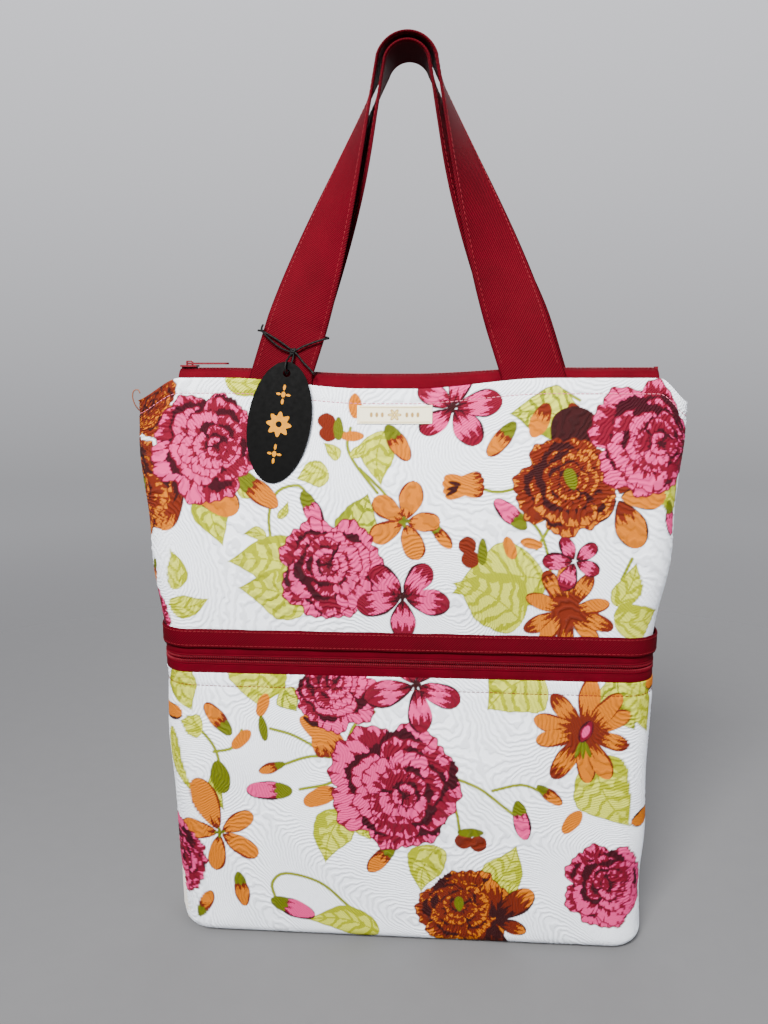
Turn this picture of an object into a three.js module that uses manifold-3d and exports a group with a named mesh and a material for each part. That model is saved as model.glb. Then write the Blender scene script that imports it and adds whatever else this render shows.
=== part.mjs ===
// An expandable knitting bag: a cloth pouch in two halves joined by a zip that runs round the
// middle, a zipped mouth, two webbing handles, a woven label and a card tag on a cord.
//
// Frame: millimetres, +Z up, the front faces -Y, +X to the right of one who looks at the front.
// The origin is on the ground under the middle of the base.

import * as THREE from 'three';
import { mergeVertices } from 'three/addons/utils/BufferGeometryUtils.js';
import Module from 'manifold-3d';

const wasm = await Module();
wasm.setup();

// Driving dimensions.
const clothTop = 392;          // base to the top edge of the cloth
const lowerClothTop = 191.5;   // top edge of the lower half's cloth
const upperClothFoot = 220;    // lower edge of the upper half's cloth
const clothThickness = 2;      // quilted cloth
const liningThickness = 0.8;
const gap = 0.3;               // between solids that touch
const baseHalfWidth = 164;
const bandHalfWidth = 170;
const topHalfWidth = 183;
const baseHalfDepth = 33;
const bandHalfDepth = 24;
const topHalfDepth = 13.5;
const crown = 5;               // how far the front and back swell out between their seams
const baseRounding = 9;        // radius of the cloth's turn under the base
const cornerDrop = 15;         // how far the top edge falls at the sides
const mouthLeft = -152;        // the mouth's zip runs between these two ends
const mouthRight = 164;

const webbingWidth = 40;
const webbingThickness = 1.5;
const handleRise = 208;        // mouth to the middle of the webbing at the top of the handle
const handleHalfSpan = 83;     // middle of the bag to the middle of a leg at the mouth
const handleNest = 4.8;        // how far the back handle's arch sits inside the front one
const handleSpread = 4;        // how far its feet stand outside the front one's
const legLean = THREE.MathUtils.degToRad(18.4);
const handleSeat = topHalfDepth - clothThickness - gap - webbingThickness / 2;
const handleFoot = 2.2;        // the free webbing starts this far above the mouth
const strapEndLength = 23;     // webbing sewn in below the mouth
const twistStart = 35;         // height above the mouth where the webbing starts to twist

const coilWidth = 2;
const coilThickness = 2;
const sliderPost = 1.2;        // the slider's post between the two rows of coil
const coilClearance = 0.3;     // coil to post, on each side
const tapeThickness = 0.8;
const mouthRidge = 6;          // height of the mouth's coil above the cloth
const bandZip = 201;           // height of the middle zip's line
const sliderLength = 11;
const sliderHalfWidth = 4;
const sliderPlate = 1.2;

const tagWidth = 42;
const tagHeight = 80;
const tagThickness = 0.8;
const cordDiameter = 1.4;

// Materials, one for each finish.
const finishes = {
  floral_cloth: { color: 0xe8ebf2, roughness: 0.8, metalness: 0 },
  lining_cloth: { color: 0xd9d4cc, roughness: 0.85, metalness: 0 },
  red_webbing: { color: 0x8e1522, roughness: 0.7, metalness: 0 },
  red_tape: { color: 0x9c1826, roughness: 0.75, metalness: 0 },
  red_coil: { color: 0x5e0c16, roughness: 0.4, metalness: 0 },
  red_slider: { color: 0x7d1420, roughness: 0.35, metalness: 0.3 },
  label_weave: { color: 0xcfc6a4, roughness: 0.8, metalness: 0 },
  black_card: { color: 0x0b0b0d, roughness: 0.5, metalness: 0 },
  black_cord: { color: 0x101012, roughness: 0.6, metalness: 0 },
};

const bag = new THREE.Group();

function addPiece(name, geometry, finish) {
  const mesh = new THREE.Mesh(geometry, new THREE.MeshStandardMaterial(finishes[finish]));
  mesh.name = name;
  bag.add(mesh);
  return mesh;
}

// --- The cloth body's surface -------------------------------------------------------------
// The body's section at each height is a rounded rectangle. A station from 0 to 40 goes round
// it: 0 at the middle of the left side, 10 at the middle of the front, 20 at the right side
// and 30 at the middle of the back. Stations 6 to 14 and 26 to 34 are the straight runs.

const halfLoop = 20;
const cornerStart = 1;
const cornerEnd = 6;

function lowerShare(z) {
  return THREE.MathUtils.clamp(z / lowerClothTop, 0, 1);
}

function upperShare(z) {
  return THREE.MathUtils.clamp((z - upperClothFoot) / (clothTop - upperClothFoot), 0, 1);
}

function halfWidthAt(z) {
  const lower = baseHalfWidth + (bandHalfWidth - baseHalfWidth) * lowerShare(z);
  return lower + (topHalfWidth - bandHalfWidth) * Math.sin(upperShare(z) * Math.PI / 2);
}

function halfDepthAt(z) {
  const lower = baseHalfDepth - (baseHalfDepth - bandHalfDepth) * lowerShare(z) ** 1.5;
  return lower - (bandHalfDepth - topHalfDepth) * upperShare(z) ** 2;
}

function cornerRadiusAt(z) {
  const flatSideAtBase = 9;
  const flatSide = 2;
  const flat = flatSideAtBase + (flatSide - flatSideAtBase) * lowerShare(z);
  return halfDepthAt(z) - flat;
}

function crownAt(z) {
  return crown * (Math.sin(lowerShare(z) * Math.PI) + Math.sin(upperShare(z) * Math.PI));
}

function turnUnder(z) {
  const below = Math.max(baseRounding - z, 0);
  return baseRounding - Math.sqrt(baseRounding ** 2 - below ** 2);
}

function halfSection(station, z, inset) {
  const radius = cornerRadiusAt(z) - inset;
  const straightX = halfWidthAt(z) - cornerRadiusAt(z);
  const straightY = halfDepthAt(z) - cornerRadiusAt(z);
  const mirrored = station > halfLoop / 2;
  const near = mirrored ? halfLoop - station : station;
  let x = -straightX - radius;
  let y = -straightY * near / cornerStart;
  if (near > cornerStart) {
    const angle = Math.min((near - cornerStart) / (cornerEnd - cornerStart), 1) * Math.PI / 2;
    x = -straightX - radius * Math.cos(angle);
    y = -straightY - radius * Math.sin(angle);
  }
  if (near > cornerEnd) {
    const share = (near - cornerEnd) / (halfLoop / 2 - cornerEnd);
    x = -straightX * (1 - share);
    y -= crownAt(z) * (1 - (1 - share) ** 2);
  }
  return [mirrored ? -x : x, y];
}

// The top edge falls away past the two ends of the mouth's zip.
function edgeDrop(x, z) {
  const zipEnd = x < 0 ? -mouthLeft : mouthRight;
  const beyond = THREE.MathUtils.smoothstep(Math.abs(x), zipEnd - 2, topHalfWidth);
  const high = THREE.MathUtils.smoothstep(z, clothTop - 60, clothTop);
  return cornerDrop * beyond * high;
}

function bodyPoint(station, z, inset) {
  const wrapped = (station + 2 * halfLoop) % (2 * halfLoop);
  const onBack = wrapped > halfLoop;
  const [x, y] = halfSection(onBack ? wrapped - halfLoop : wrapped, z, inset + turnUnder(z));
  const height = z - edgeDrop(onBack ? -x : x, z);
  return onBack ? [-x, -y, height] : [x, y, height];
}

// Where a place along the front's straight run lies, as a station.
function frontStation(x, z) {
  const straightX = halfWidthAt(z) - cornerRadiusAt(z);
  return halfLoop / 2 + x / straightX * (halfLoop / 2 - cornerEnd);
}

function everyStation(from, to) {
  return Array.from({ length: to - from + 1 }, (_, i) => from + i);
}

function evenSteps(from, to, count) {
  return Array.from({ length: count + 1 }, (_, i) => from + (to - from) * i / count);
}

// A block bent into shape: place(i, j, k) says where each grid corner goes. The three steps
// must run along, up and outwards so that the faces point out.
function bentBlock(alongSteps, upSteps, outSteps, place) {
  const geometry = new THREE.BoxGeometry(1, 1, 1, alongSteps, upSteps, outSteps);
  const position = geometry.attributes.position;
  for (let n = 0; n < position.count; n += 1) {
    const along = Math.round((position.getX(n) + 0.5) * alongSteps);
    const up = Math.round((position.getY(n) + 0.5) * upSteps);
    const out = Math.round((position.getZ(n) + 0.5) * outSteps);
    position.setXYZ(n, ...place(along, up, out));
  }
  return geometry;
}

// A stretch of the body's wall between two insets, measured inwards from the outer face.
function wallPiece(stations, heights, outerInset, innerInset) {
  return bentBlock(stations.length - 1, heights.length - 1, 1, (i, j, k) =>
    bodyPoint(stations[i], heights[j], k === 1 ? outerInset : innerInset));
}

// A closed ring round the body's wall, or a pouch where the profile reaches the middle.
// Each profile point is { z, inset, share }, with share 1 on the wall and 0 in the middle.
function wallRing(profile) {
  const steps = 2 * halfLoop;
  const outline = profile.map((point) => new THREE.Vector2(point.share, point.z));
  const geometry = new THREE.LatheGeometry(outline, steps);
  const position = geometry.attributes.position;
  for (let n = 0; n < position.count; n += 1) {
    const station = Math.floor(n / profile.length) % steps;
    const { z, inset, share } = profile[n % profile.length];
    const [x, y, height] = bodyPoint(station, z, inset);
    position.setXYZ(n, x * share, y * share, height);
  }
  return geometry;
}

function wallBand(foot, top, outerInset, innerInset) {
  const corners = [[foot, outerInset], [top, outerInset], [top, innerInset], [foot, innerInset]];
  const profile = [...corners, corners[0]].map(([z, inset]) => ({ z, inset, share: 1 }));
  return wallRing(profile);
}

// --- Cloth panels, base and linings -------------------------------------------------------

const lowerHeights = [0.2, 1, 3, 6, 10, 50, 97, 144, lowerClothTop - gap];
const upperHeights = evenSteps(upperClothFoot, clothTop, 8);
const seamGap = 0.16;          // from the side seam's middle to each panel, in stations

function addPanels(half, heights) {
  const front = everyStation(0, halfLoop);
  front[0] += seamGap;
  front[halfLoop] -= seamGap;
  const back = front.map((station) => station + halfLoop);
  addPiece(`${half}_front_panel`, wallPiece(front, heights, 0, clothThickness), 'floral_cloth');
  addPiece(`${half}_back_panel`, wallPiece(back, heights, 0, clothThickness), 'floral_cloth');
}

// A flat plate inside the turned-under lower edge of the cloth.
function basePanel() {
  const thickness = 2;
  const clearance = 1.5;
  return wallRing([
    { z: 0, inset: clearance, share: 0 },
    { z: 0, inset: clearance, share: 1 },
    { z: thickness, inset: clearance + turnUnder(0) - turnUnder(thickness), share: 1 },
    { z: thickness, inset: clearance, share: 0 },
  ]);
}

function lowerLining() {
  const outer = clothThickness + gap;
  const inner = outer + liningThickness;
  const floor = 4;
  const heights = [12, ...lowerHeights.slice(-4)];
  return wallRing([
    { z: floor, inset: outer, share: 0 },
    { z: floor, inset: outer, share: 1 },
    ...heights.map((z) => ({ z, inset: outer, share: 1 })),
    ...heights.slice().reverse().map((z) => ({ z, inset: inner, share: 1 })),
    { z: floor + liningThickness, inset: inner, share: 1 },
    { z: floor + liningThickness, inset: inner, share: 0 },
  ]);
}

function upperLining() {
  const outer = clothThickness + gap;
  const inner = outer + liningThickness;
  const heights = upperHeights.slice(0, -1);
  heights[heights.length - 1] = clothTop - strapEndLength - 3;
  const rise = heights.map((z) => ({ z, inset: outer, share: 1 }));
  const fall = heights.slice().reverse().map((z) => ({ z, inset: inner, share: 1 }));
  return wallRing([...rise, ...fall, rise[0]]);
}

function addBody() {
  addPanels('lower', lowerHeights);
  addPanels('upper', upperHeights);
  addPiece('base_panel', basePanel(), 'floral_cloth');
  addPiece('lower_lining', lowerLining(), 'lining_cloth');
  addPiece('upper_lining', upperLining(), 'lining_cloth');
}

// --- The band and the zip round the middle ------------------------------------------------

const tapeOuter = 0.8;
const zipStart = 36;           // the zip's two ends meet between this station and the last one
const zipRun = everyStation(zipStart, zipStart + 2 * halfLoop - 1);

function addBand() {
  const clearOfPost = sliderPost / 2 + coilClearance;
  const coilTop = bandZip + clearOfPost + coilWidth;
  const coilFoot = bandZip - clearOfPost - coilWidth;
  const tapeInner = tapeOuter + tapeThickness;
  const webbingFoot = coilTop + 5.6;
  const webbingTop = upperClothFoot + 3;
  const overCloth = -gap;
  const webbingFace = overCloth - 1;
  const webbing = wallBand(webbingFoot, webbingTop, webbingFace, overCloth);
  addPiece('band_webbing', webbing, 'red_webbing');

  const lowerTape = wallPiece(zipRun, [lowerClothTop, coilFoot - gap], tapeOuter, tapeInner);
  const upperTape = wallPiece(zipRun, [coilTop + gap, upperClothFoot - gap], tapeOuter, tapeInner);
  addPiece('mid_tape_lower', lowerTape, 'red_tape');
  addPiece('mid_tape_upper', upperTape, 'red_tape');

  const lowerCoil = wallPiece(zipRun, [coilFoot, coilFoot + coilWidth], 0, coilThickness);
  const upperCoil = wallPiece(zipRun, [coilTop - coilWidth, coilTop], 0, coilThickness);
  addPiece('mid_coil_lower', lowerCoil, 'red_coil');
  addPiece('mid_coil_upper', upperCoil, 'red_coil');

  const tabRun = [zipStart - 1, zipStart];
  const tabHeights = [coilFoot - 5, coilTop + 1.5];
  const tab = wallPiece(tabRun, tabHeights, webbingFace, overCloth);
  addPiece('mid_zip_end_tab', tab, 'red_webbing');

  const pleatFoot = lowerClothTop + 3;
  const pleatTop = upperClothFoot - 3;
  const pleatOuter = 4.4;
  const pleatInner = 8.4;
  const pleats = wallBand(pleatFoot, pleatTop, pleatOuter, pleatInner);
  addPiece('expansion_panel', pleats, 'floral_cloth');
}

// --- Sliders and pulls --------------------------------------------------------------------
// A slider is an I section: a plate above and below the coil and a post between the two rows.
// It is drawn running along X, with the plates' faces up and down, and centred on its post.

function toManifold(geometry) {
  const bare = geometry.clone();
  bare.deleteAttribute('normal');
  bare.deleteAttribute('uv');
  const merged = mergeVertices(bare, 1e-4);
  return new wasm.Manifold(new wasm.Mesh({
    numProp: 3,
    vertProperties: new Float32Array(merged.attributes.position.array),
    triVerts: new Uint32Array(merged.index.array),
  }));
}

function fromManifold(solid) {
  const { vertProperties, triVerts } = solid.getMesh();
  const geometry = new THREE.BufferGeometry();
  geometry.setAttribute('position', new THREE.BufferAttribute(vertProperties, 3));
  geometry.setIndex(new THREE.BufferAttribute(triVerts, 1));
  return geometry;
}

function joined(...geometries) {
  const solids = geometries.map(toManifold);
  return fromManifold(solids.reduce((whole, solid) => whole.add(solid)));
}

function outlineFrom(points) {
  return new THREE.Shape(points.map(([x, y]) => new THREE.Vector2(x, y)));
}

const slotHalf = coilThickness / 2 + gap;
const plateTop = slotHalf + sliderPlate;
const bailHeight = 2.9;        // the bail is the loop on the slider that holds the pull
const bailHalfWidth = 1;
const bailOuter = 2.3;
const bailInner = 1.4;
const bailRoom = 2;            // clear height under the bail
const bailBevel = 0.6;
const pullAxisHeight = plateTop + 1;

function sliderGeometry() {
  const post = sliderPost / 2;
  const wide = sliderHalfWidth;
  const section = outlineFrom([
    [-wide, -plateTop], [wide, -plateTop], [wide, -slotHalf], [post, -slotHalf],
    [post, slotHalf], [wide, slotHalf], [wide, plateTop], [-wide, plateTop],
    [-wide, slotHalf], [-post, slotHalf], [-post, -slotHalf], [-wide, -slotHalf],
  ]);
  const body = new THREE.ExtrudeGeometry(section, { depth: sliderLength, bevelEnabled: false });
  body.translate(0, 0, -sliderLength / 2);
  body.rotateX(Math.PI / 2);
  body.rotateZ(Math.PI / 2);

  const foot = plateTop - 0.4;
  const room = plateTop + bailRoom;
  const top = plateTop + bailHeight;
  const arch = outlineFrom([
    [-bailOuter, foot], [-bailInner, foot], [-bailInner, room],
    [bailInner, room], [bailInner, foot], [bailOuter, foot],
    [bailOuter, top - bailBevel], [bailOuter - bailBevel, top],
    [-bailOuter + bailBevel, top], [-bailOuter, top - bailBevel],
  ]);
  const bail = new THREE.ExtrudeGeometry(arch, { depth: 2 * bailHalfWidth, bevelEnabled: false });
  bail.translate(0, 0, -bailHalfWidth);
  bail.rotateX(Math.PI / 2);
  return joined(body, bail);
}

// The pull lies along +X from its pivot bar, which is at the origin.
function pullGeometry() {
  const thickness = 1.2;
  const barHalf = 0.5;
  const reach = 27;
  const half = 3;
  const outline = new THREE.Shape();
  outline.moveTo(-barHalf, -half);
  outline.lineTo(reach - half, -half);
  outline.absarc(reach - half, 0, half, -Math.PI / 2, Math.PI / 2, false);
  outline.lineTo(-barHalf, half);
  outline.closePath();
  const eyeHalf = half - 1;
  const eyeEnd = 3.7;
  const eye = new THREE.Path();
  eye.moveTo(barHalf, -eyeHalf);
  eye.lineTo(barHalf, eyeHalf);
  eye.lineTo(eyeEnd, eyeHalf);
  eye.lineTo(eyeEnd, -eyeHalf);
  eye.closePath();
  outline.holes.push(eye);
  const options = { depth: thickness, bevelEnabled: false, curveSegments: 8 };
  return new THREE.ExtrudeGeometry(outline, options).translate(0, 0, -thickness / 2);
}

const mouthSliderX = -147;
const bandSliderX = -132;

function addSliders() {
  const mouthSlider = addPiece('top_slider', sliderGeometry(), 'red_slider');
  mouthSlider.position.set(mouthSliderX, 0, clothTop + mouthRidge);
  const mouthPull = addPiece('top_pull', pullGeometry(), 'red_slider');
  mouthPull.position.set(mouthSliderX, 0, clothTop + mouthRidge + pullAxisHeight);

  // The middle zip's slider stands on the back, with its bail outwards.
  const coilCentre = bandHalfDepth - coilThickness / 2;
  const bandSlider = addPiece('mid_slider', sliderGeometry(), 'red_slider');
  bandSlider.rotation.set(-Math.PI / 2, 0, 0);
  bandSlider.position.set(bandSliderX, coilCentre, bandZip);
  const bandPull = addPiece('mid_pull', pullGeometry(), 'red_slider');
  bandPull.rotation.set(-Math.PI / 2, 0, Math.PI);
  bandPull.position.set(bandSliderX, coilCentre + pullAxisHeight, bandZip);
}

// --- The mouth's zip ----------------------------------------------------------------------
// Each side is a strip of tape that leans in from the cloth's edge to its row of coil.

const flapHinge = 9.4;         // half the distance between the two strips' lower edges
const backTapeStart = -140;    // the back strip stops short of where the slider parks
const stopHeight = 2.8;
const stopLength = 2.2;

function alongX(section, from, to) {
  const strip = new THREE.ExtrudeGeometry(section, { depth: to - from, bevelEnabled: false });
  strip.rotateX(Math.PI / 2);
  strip.rotateZ(Math.PI / 2);
  return strip.translate(from, 0, 0);
}

function mouthStrip(side, from, to) {
  const coilEdge = sliderPost / 2 + coilClearance + coilWidth + gap;
  const ridge = mouthRidge + tapeThickness / 2;
  const shoulder = 5.4;        // where the strip turns level
  const foot = 0.5;            // above the cloth's edge
  const lean = 0.4;            // keeps the sloping stretch as thick as the level one
  const path = [[flapHinge, foot], [shoulder, ridge - lean], [coilEdge, ridge]];
  const under = [
    [coilEdge, ridge - tapeThickness],
    [shoulder - lean, ridge - lean - tapeThickness],
    [flapHinge - lean, foot - tapeThickness],
  ];
  const outline = [...path, ...under].map(([y, z]) => [side * y, clothTop + z]);
  return alongX(outlineFrom(outline), from, to);
}

function mouthCoil(side, from, to) {
  const inner = side * (sliderPost / 2 + coilClearance);
  const outer = inner + side * coilWidth;
  const low = clothTop + mouthRidge - coilThickness / 2;
  const high = low + coilThickness;
  return alongX(outlineFrom([[inner, low], [outer, low], [outer, high], [inner, high]]), from, to);
}

function zipStop(from, to) {
  const width = coilWidth + 1;
  const low = clothTop + mouthRidge - stopHeight / 2;
  const high = low + stopHeight;
  return alongX(outlineFrom([[-width, low], [0, low], [0, high], [-width, high]]), from, to);
}

function addMouth() {
  const coilEnd = mouthRight - 3;
  addPiece('top_tape_front', mouthStrip(-1, mouthLeft, mouthRight), 'red_tape');
  addPiece('top_tape_back', mouthStrip(1, backTapeStart, mouthRight), 'red_tape');
  addPiece('top_coil_front', mouthCoil(-1, backTapeStart, coilEnd), 'red_coil');
  addPiece('top_coil_back', mouthCoil(1, backTapeStart, coilEnd), 'red_coil');
  addPiece('top_zip_stop', zipStop(coilEnd + gap, coilEnd + gap + stopLength), 'red_slider');
}

// --- Handles ------------------------------------------------------------------------------
// The middle line of a handle is two straight legs that lean in to a round arch. The webbing
// faces front at the mouth and has turned a quarter turn where it meets the arch, so that its
// front face looks up at the top.

const legSteps = 14;
const archSteps = 12;

function handleLine() {
  const tilt = Math.tan(legLean);
  const reach = handleHalfSpan - tilt * handleRise;
  const radius = reach / (Math.cos(legLean) - tilt * (1 - Math.sin(legLean)));
  const centre = handleRise - radius;
  const legEnd = centre + radius * Math.sin(legLean);
  return { radius, centre, legEnd };
}

function handleFrame(line, step) {
  const last = 2 * legSteps + archSteps;
  const right = step > last / 2;
  const near = right ? last - step : step;
  let point = [0, 0];
  let outward = [-Math.cos(legLean), Math.sin(legLean)];
  if (near <= legSteps) {
    const height = THREE.MathUtils.lerp(handleFoot, line.legEnd, near / legSteps);
    point = [-handleHalfSpan + height * Math.tan(legLean), height];
  } else {
    const angle = THREE.MathUtils.lerp(legLean, Math.PI / 2, (near - legSteps) / (archSteps / 2));
    outward = [-Math.cos(angle), Math.sin(angle)];
    point = [line.radius * outward[0], line.centre + line.radius * outward[1]];
  }
  const flip = right ? -1 : 1;
  return { x: flip * point[0], z: point[1], outX: flip * outward[0], outZ: outward[1] };
}

// The webbing's foot is cut level, and the rows above it turn square to the leg by degrees.
const levelRows = 4;

// How far inside the middle line a handle runs, at a height above the mouth.
function nestAt(side, height) {
  if (side < 0) {
    return 0;
  }
  return (handleNest + handleSpread) * THREE.MathUtils.smoothstep(height, 20, 150) - handleSpread;
}

function handleGeometry(side, line) {
  const last = 2 * legSteps + archSteps;
  return bentBlock(last, 2, 1, (i, j, k) => {
    const { x, z, outX, outZ } = handleFrame(line, i);
    const turned = THREE.MathUtils.clamp((z - twistStart) / (line.legEnd - twistStart), 0, 1);
    const twist = turned ** 0.9 * Math.PI / 2;
    const lean = THREE.MathUtils.smoothstep(z, 0, handleRise);
    const across = (j / 2 - 0.5) * webbingWidth;
    const out = (k - 0.5) * webbingThickness;
    const nest = nestAt(side, z);
    const inPlane = across * Math.cos(twist) + out * Math.sin(twist);
    const depth = across * Math.sin(twist) - out * Math.cos(twist);
    const level = Math.max(1 - Math.min(i, last - i) / levelRows, 0);
    const slip = -level * inPlane * Math.tan(legLean);
    return [
      x + outX * (inPlane - nest) - outZ * slip * Math.sign(outX),
      side * handleSeat * (1 - lean) + depth,
      clothTop + z + outZ * (inPlane - nest) + slip * Math.cos(legLean),
    ];
  });
}

function strapEnd(side, x) {
  const end = new THREE.BoxGeometry(webbingWidth, webbingThickness, strapEndLength);
  end.translate(x, side * handleSeat, clothTop - strapEndLength / 2 - 0.5);
  return end;
}

function addHandles() {
  const line = handleLine();
  for (const [name, side] of [['front', -1], ['back', 1]]) {
    const foot = handleHalfSpan - nestAt(side, 0) / Math.cos(legLean);
    addPiece(`${name}_handle`, handleGeometry(side, line), 'red_webbing');
    addPiece(`${name}_left_strap_end`, strapEnd(side, -foot), 'red_webbing');
    addPiece(`${name}_right_strap_end`, strapEnd(side, foot), 'red_webbing');
  }
}

// --- Label, tag and cord ------------------------------------------------------------------

function addLabel() {
  const middle = 374;
  const halfHeight = 6.7;
  const centre = -7;
  const halfLength = 24.5;
  const overCloth = -gap;
  const xs = evenSteps(centre - halfLength, centre + halfLength, 4);
  const heights = evenSteps(middle - halfHeight, middle + halfHeight, 2);
  const stations = xs.map((x) => frontStation(x, middle));
  addPiece('woven_label', wallPiece(stations, heights, overCloth - 0.6, overCloth), 'label_weave');
}

const tagCentre = new THREE.Vector3(-82.5, -21.3, 363);
const tagLean = THREE.MathUtils.degToRad(9);       // the top leans to the right
const tagRecline = THREE.MathUtils.degToRad(5.5);  // the top leans back against the bag
const tagEye = 32.5;                               // tag's centre to the middle of its eye

function addTag() {
  const outline = new THREE.Shape();
  outline.absellipse(0, 0, tagWidth / 2, tagHeight / 2, 0, Math.PI * 2, false, 0);
  const eye = new THREE.Path();
  eye.absarc(0, tagEye, 2.4, 0, Math.PI * 2, true);
  outline.holes.push(eye);
  const options = { depth: tagThickness, bevelEnabled: false, curveSegments: 14 };
  const card = new THREE.ExtrudeGeometry(outline, options);
  card.translate(0, 0, -tagThickness / 2);
  card.rotateX(Math.PI / 2);
  const tag = addPiece('hang_tag', card, 'black_card');
  tag.rotation.set(-tagRecline, tagLean, 0);
  tag.position.copy(tagCentre);
}

function cordTube(points) {
  const path = new THREE.CatmullRomCurve3(points.map((point) => new THREE.Vector3(...point)));
  const sides = 8;
  const ring = outlineFrom(Array.from({ length: sides }, (_, i) => {
    const angle = 2 * Math.PI * i / sides;
    return [cordDiameter / 2 * Math.cos(angle), cordDiameter / 2 * Math.sin(angle)];
  }));
  const steps = Math.ceil(path.getLength() / (2.5 * cordDiameter));
  return new THREE.ExtrudeGeometry(ring, { steps, extrudePath: path, bevelEnabled: false });
}

// Heights here are above the mouth.
const knotAt = [-74, -13.4, 17];
const knotRadius = 2.2;

function above(points) {
  return points.map(([x, y, z]) => [x, y, clothTop + z]);
}

function addCord() {
  const knot = new THREE.SphereGeometry(knotRadius, 10, 8);
  knot.scale(1, 0.7, 1);
  knot.translate(...above([knotAt])[0]);
  addPiece('cord_knot', knot, 'black_cord');
  addPiece('cord_loop', cordTube(above([
    [-71.2, -13.4, 18.2], [-64, -13.2, 21.5], [-54.5, -13.1, 24.6], [-50.8, -10.4, 25.6],
    [-54.5, -7.5, 26.6], [-66, -7.3, 28], [-80, -7.3, 29.5], [-92.6, -7.4, 30.6],
    [-97.2, -10.2, 30.8], [-93.2, -13, 29.8], [-84, -13.2, 24.5], [-76.4, -13.4, 19.2],
  ])), 'black_cord');
  addPiece('cord_tail_left', cordTube(above([
    [-76.9, -13.4, 17.2], [-83, -14, 20], [-90, -14.6, 26], [-94, -14.8, 31],
    [-93, -14.6, 34.5],
  ])), 'black_cord');
  addPiece('cord_tail_right', cordTube(above([
    [-71.4, -13.6, 15.4], [-67, -14.6, 10], [-62.5, -15.6, 5.5], [-60, -16.4, 2.5],
  ])), 'black_cord');
  addPiece('cord_hanger', cordTube(above([
    [-75.5, -14.3, 14.6], [-77.4, -19.2, 10.5], [-78, -20.9, 6], [-77.4, -18.8, 2.6],
    [-76.3, -15.9, 5.5], [-74.6, -14.6, 10], [-73.6, -13.6, 14.2],
  ])), 'black_cord');
}

addBody();
addBand();
addMouth();
addSliders();
addHandles();
addLabel();
addTag();
addCord();

export default bag;
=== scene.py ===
import math
import bpy
import numpy as np
from mathutils import Matrix, Vector


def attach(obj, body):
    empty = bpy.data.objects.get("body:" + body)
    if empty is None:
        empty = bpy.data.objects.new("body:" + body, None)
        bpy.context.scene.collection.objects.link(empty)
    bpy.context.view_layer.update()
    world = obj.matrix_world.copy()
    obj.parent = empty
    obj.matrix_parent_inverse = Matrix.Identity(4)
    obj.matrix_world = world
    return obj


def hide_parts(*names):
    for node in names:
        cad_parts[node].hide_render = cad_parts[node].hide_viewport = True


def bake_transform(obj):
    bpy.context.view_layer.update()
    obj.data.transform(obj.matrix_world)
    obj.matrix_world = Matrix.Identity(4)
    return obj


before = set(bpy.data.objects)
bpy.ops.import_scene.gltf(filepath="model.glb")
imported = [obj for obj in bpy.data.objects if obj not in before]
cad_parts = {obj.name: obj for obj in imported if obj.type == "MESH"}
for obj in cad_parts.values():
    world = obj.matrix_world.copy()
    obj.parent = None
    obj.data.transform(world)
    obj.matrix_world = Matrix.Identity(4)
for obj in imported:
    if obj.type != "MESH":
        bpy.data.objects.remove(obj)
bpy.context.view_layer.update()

# Everything below is worked out in millimetres and written to the meshes in metres.
MM = 0.001

# --- Driving dimensions, the same as the CAD model's -----------------------------------------
CLOTH_TOP = 392.0
LOWER_TOP = 191.5          # top edge of the lower half's cloth
UPPER_FOOT = 220.0         # lower edge of the upper half's cloth
BASE_ROUNDING = 9.0
MOUTH_LEFT = -152.0
MOUTH_RIGHT = 164.0
HALF_LOOP = 20             # stations from one side seam to the other
WEBBING_WIDTH = 40.0
WEBBING_THICKNESS = 1.5
LEG_LEAN = math.radians(18.4)
HANDLE_SPAN = 83.0         # middle of the bag to the middle of a leg, at the mouth
HANDLE_RISE = 208.0
HANDLE_NEST = 4.8          # how far the back handle's arch sits inside the front one
HANDLE_SPREAD = 4.0        # how far its feet stand outside the front one's
HANDLE_SEAT = 10.45        # how far the webbing's feet stand in front of the zip's line
TWIST_START = 35.0
BAND_ZIP = 201.0           # height of the middle zip's line
WHOLE_LOOP = 2 * HALF_LOOP
ZIP_START = 36.0           # the stations between which the middle zip has its gap
ZIP_END = 35.0
COIL_PITCH = 1.3
TAG_CENTRE = np.array([-82.5, -21.3, 363.0])
TAG_LEAN = math.radians(9.0)
TAG_RECLINE = math.radians(5.5)
TAG_EYE = 32.5
TAG_EYE_RADIUS = 2.4
TAG_HALF_WIDTH = 21.0
TAG_HALF_HEIGHT = 40.0
TAG_THICKNESS = 0.8
STITCH_ROW = 17.0          # middle of the webbing to a row of its stitches
SEAM_SPACING = 3.0         # from one stitch of a seam to the next
EDGE_ROUNDING = 0.25       # on the sliders and their pulls
BACK_PRINT_SHIFT = 196.0   # how far up the back's print is moved, so that it isn't the front's
BACK_SWIRL_SHIFT = 400.0   # how far round its raised lines are moved
KNOT = (-74.0, -13.4, 17.0)     # heights of cord points are above the mouth
CORD_DIAMETER = 1.4


# --- Camera ----------------------------------------------------------------------------------
def make_camera():
    azimuth, elevation = math.radians(4.0), math.radians(9.37)
    aim = Vector((-15.15, 0.0, 301.07)) * MM
    distance = 0.5843
    back = Vector((
        math.sin(azimuth) * math.cos(elevation),
        -math.cos(azimuth) * math.cos(elevation),
        math.sin(elevation),
    ))
    data = bpy.data.cameras.new("camera")
    data.sensor_width = 36.0
    data.lens = 29.95
    data.clip_start, data.clip_end = 0.02, 60.0
    camera = bpy.data.objects.new("camera", data)
    bpy.context.scene.collection.objects.link(camera)
    camera.location = aim + back * distance
    camera.rotation_mode = "QUATERNION"
    camera.rotation_quaternion = (-back).to_track_quat("-Z", "Y")
    bpy.context.scene.camera = camera


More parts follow.
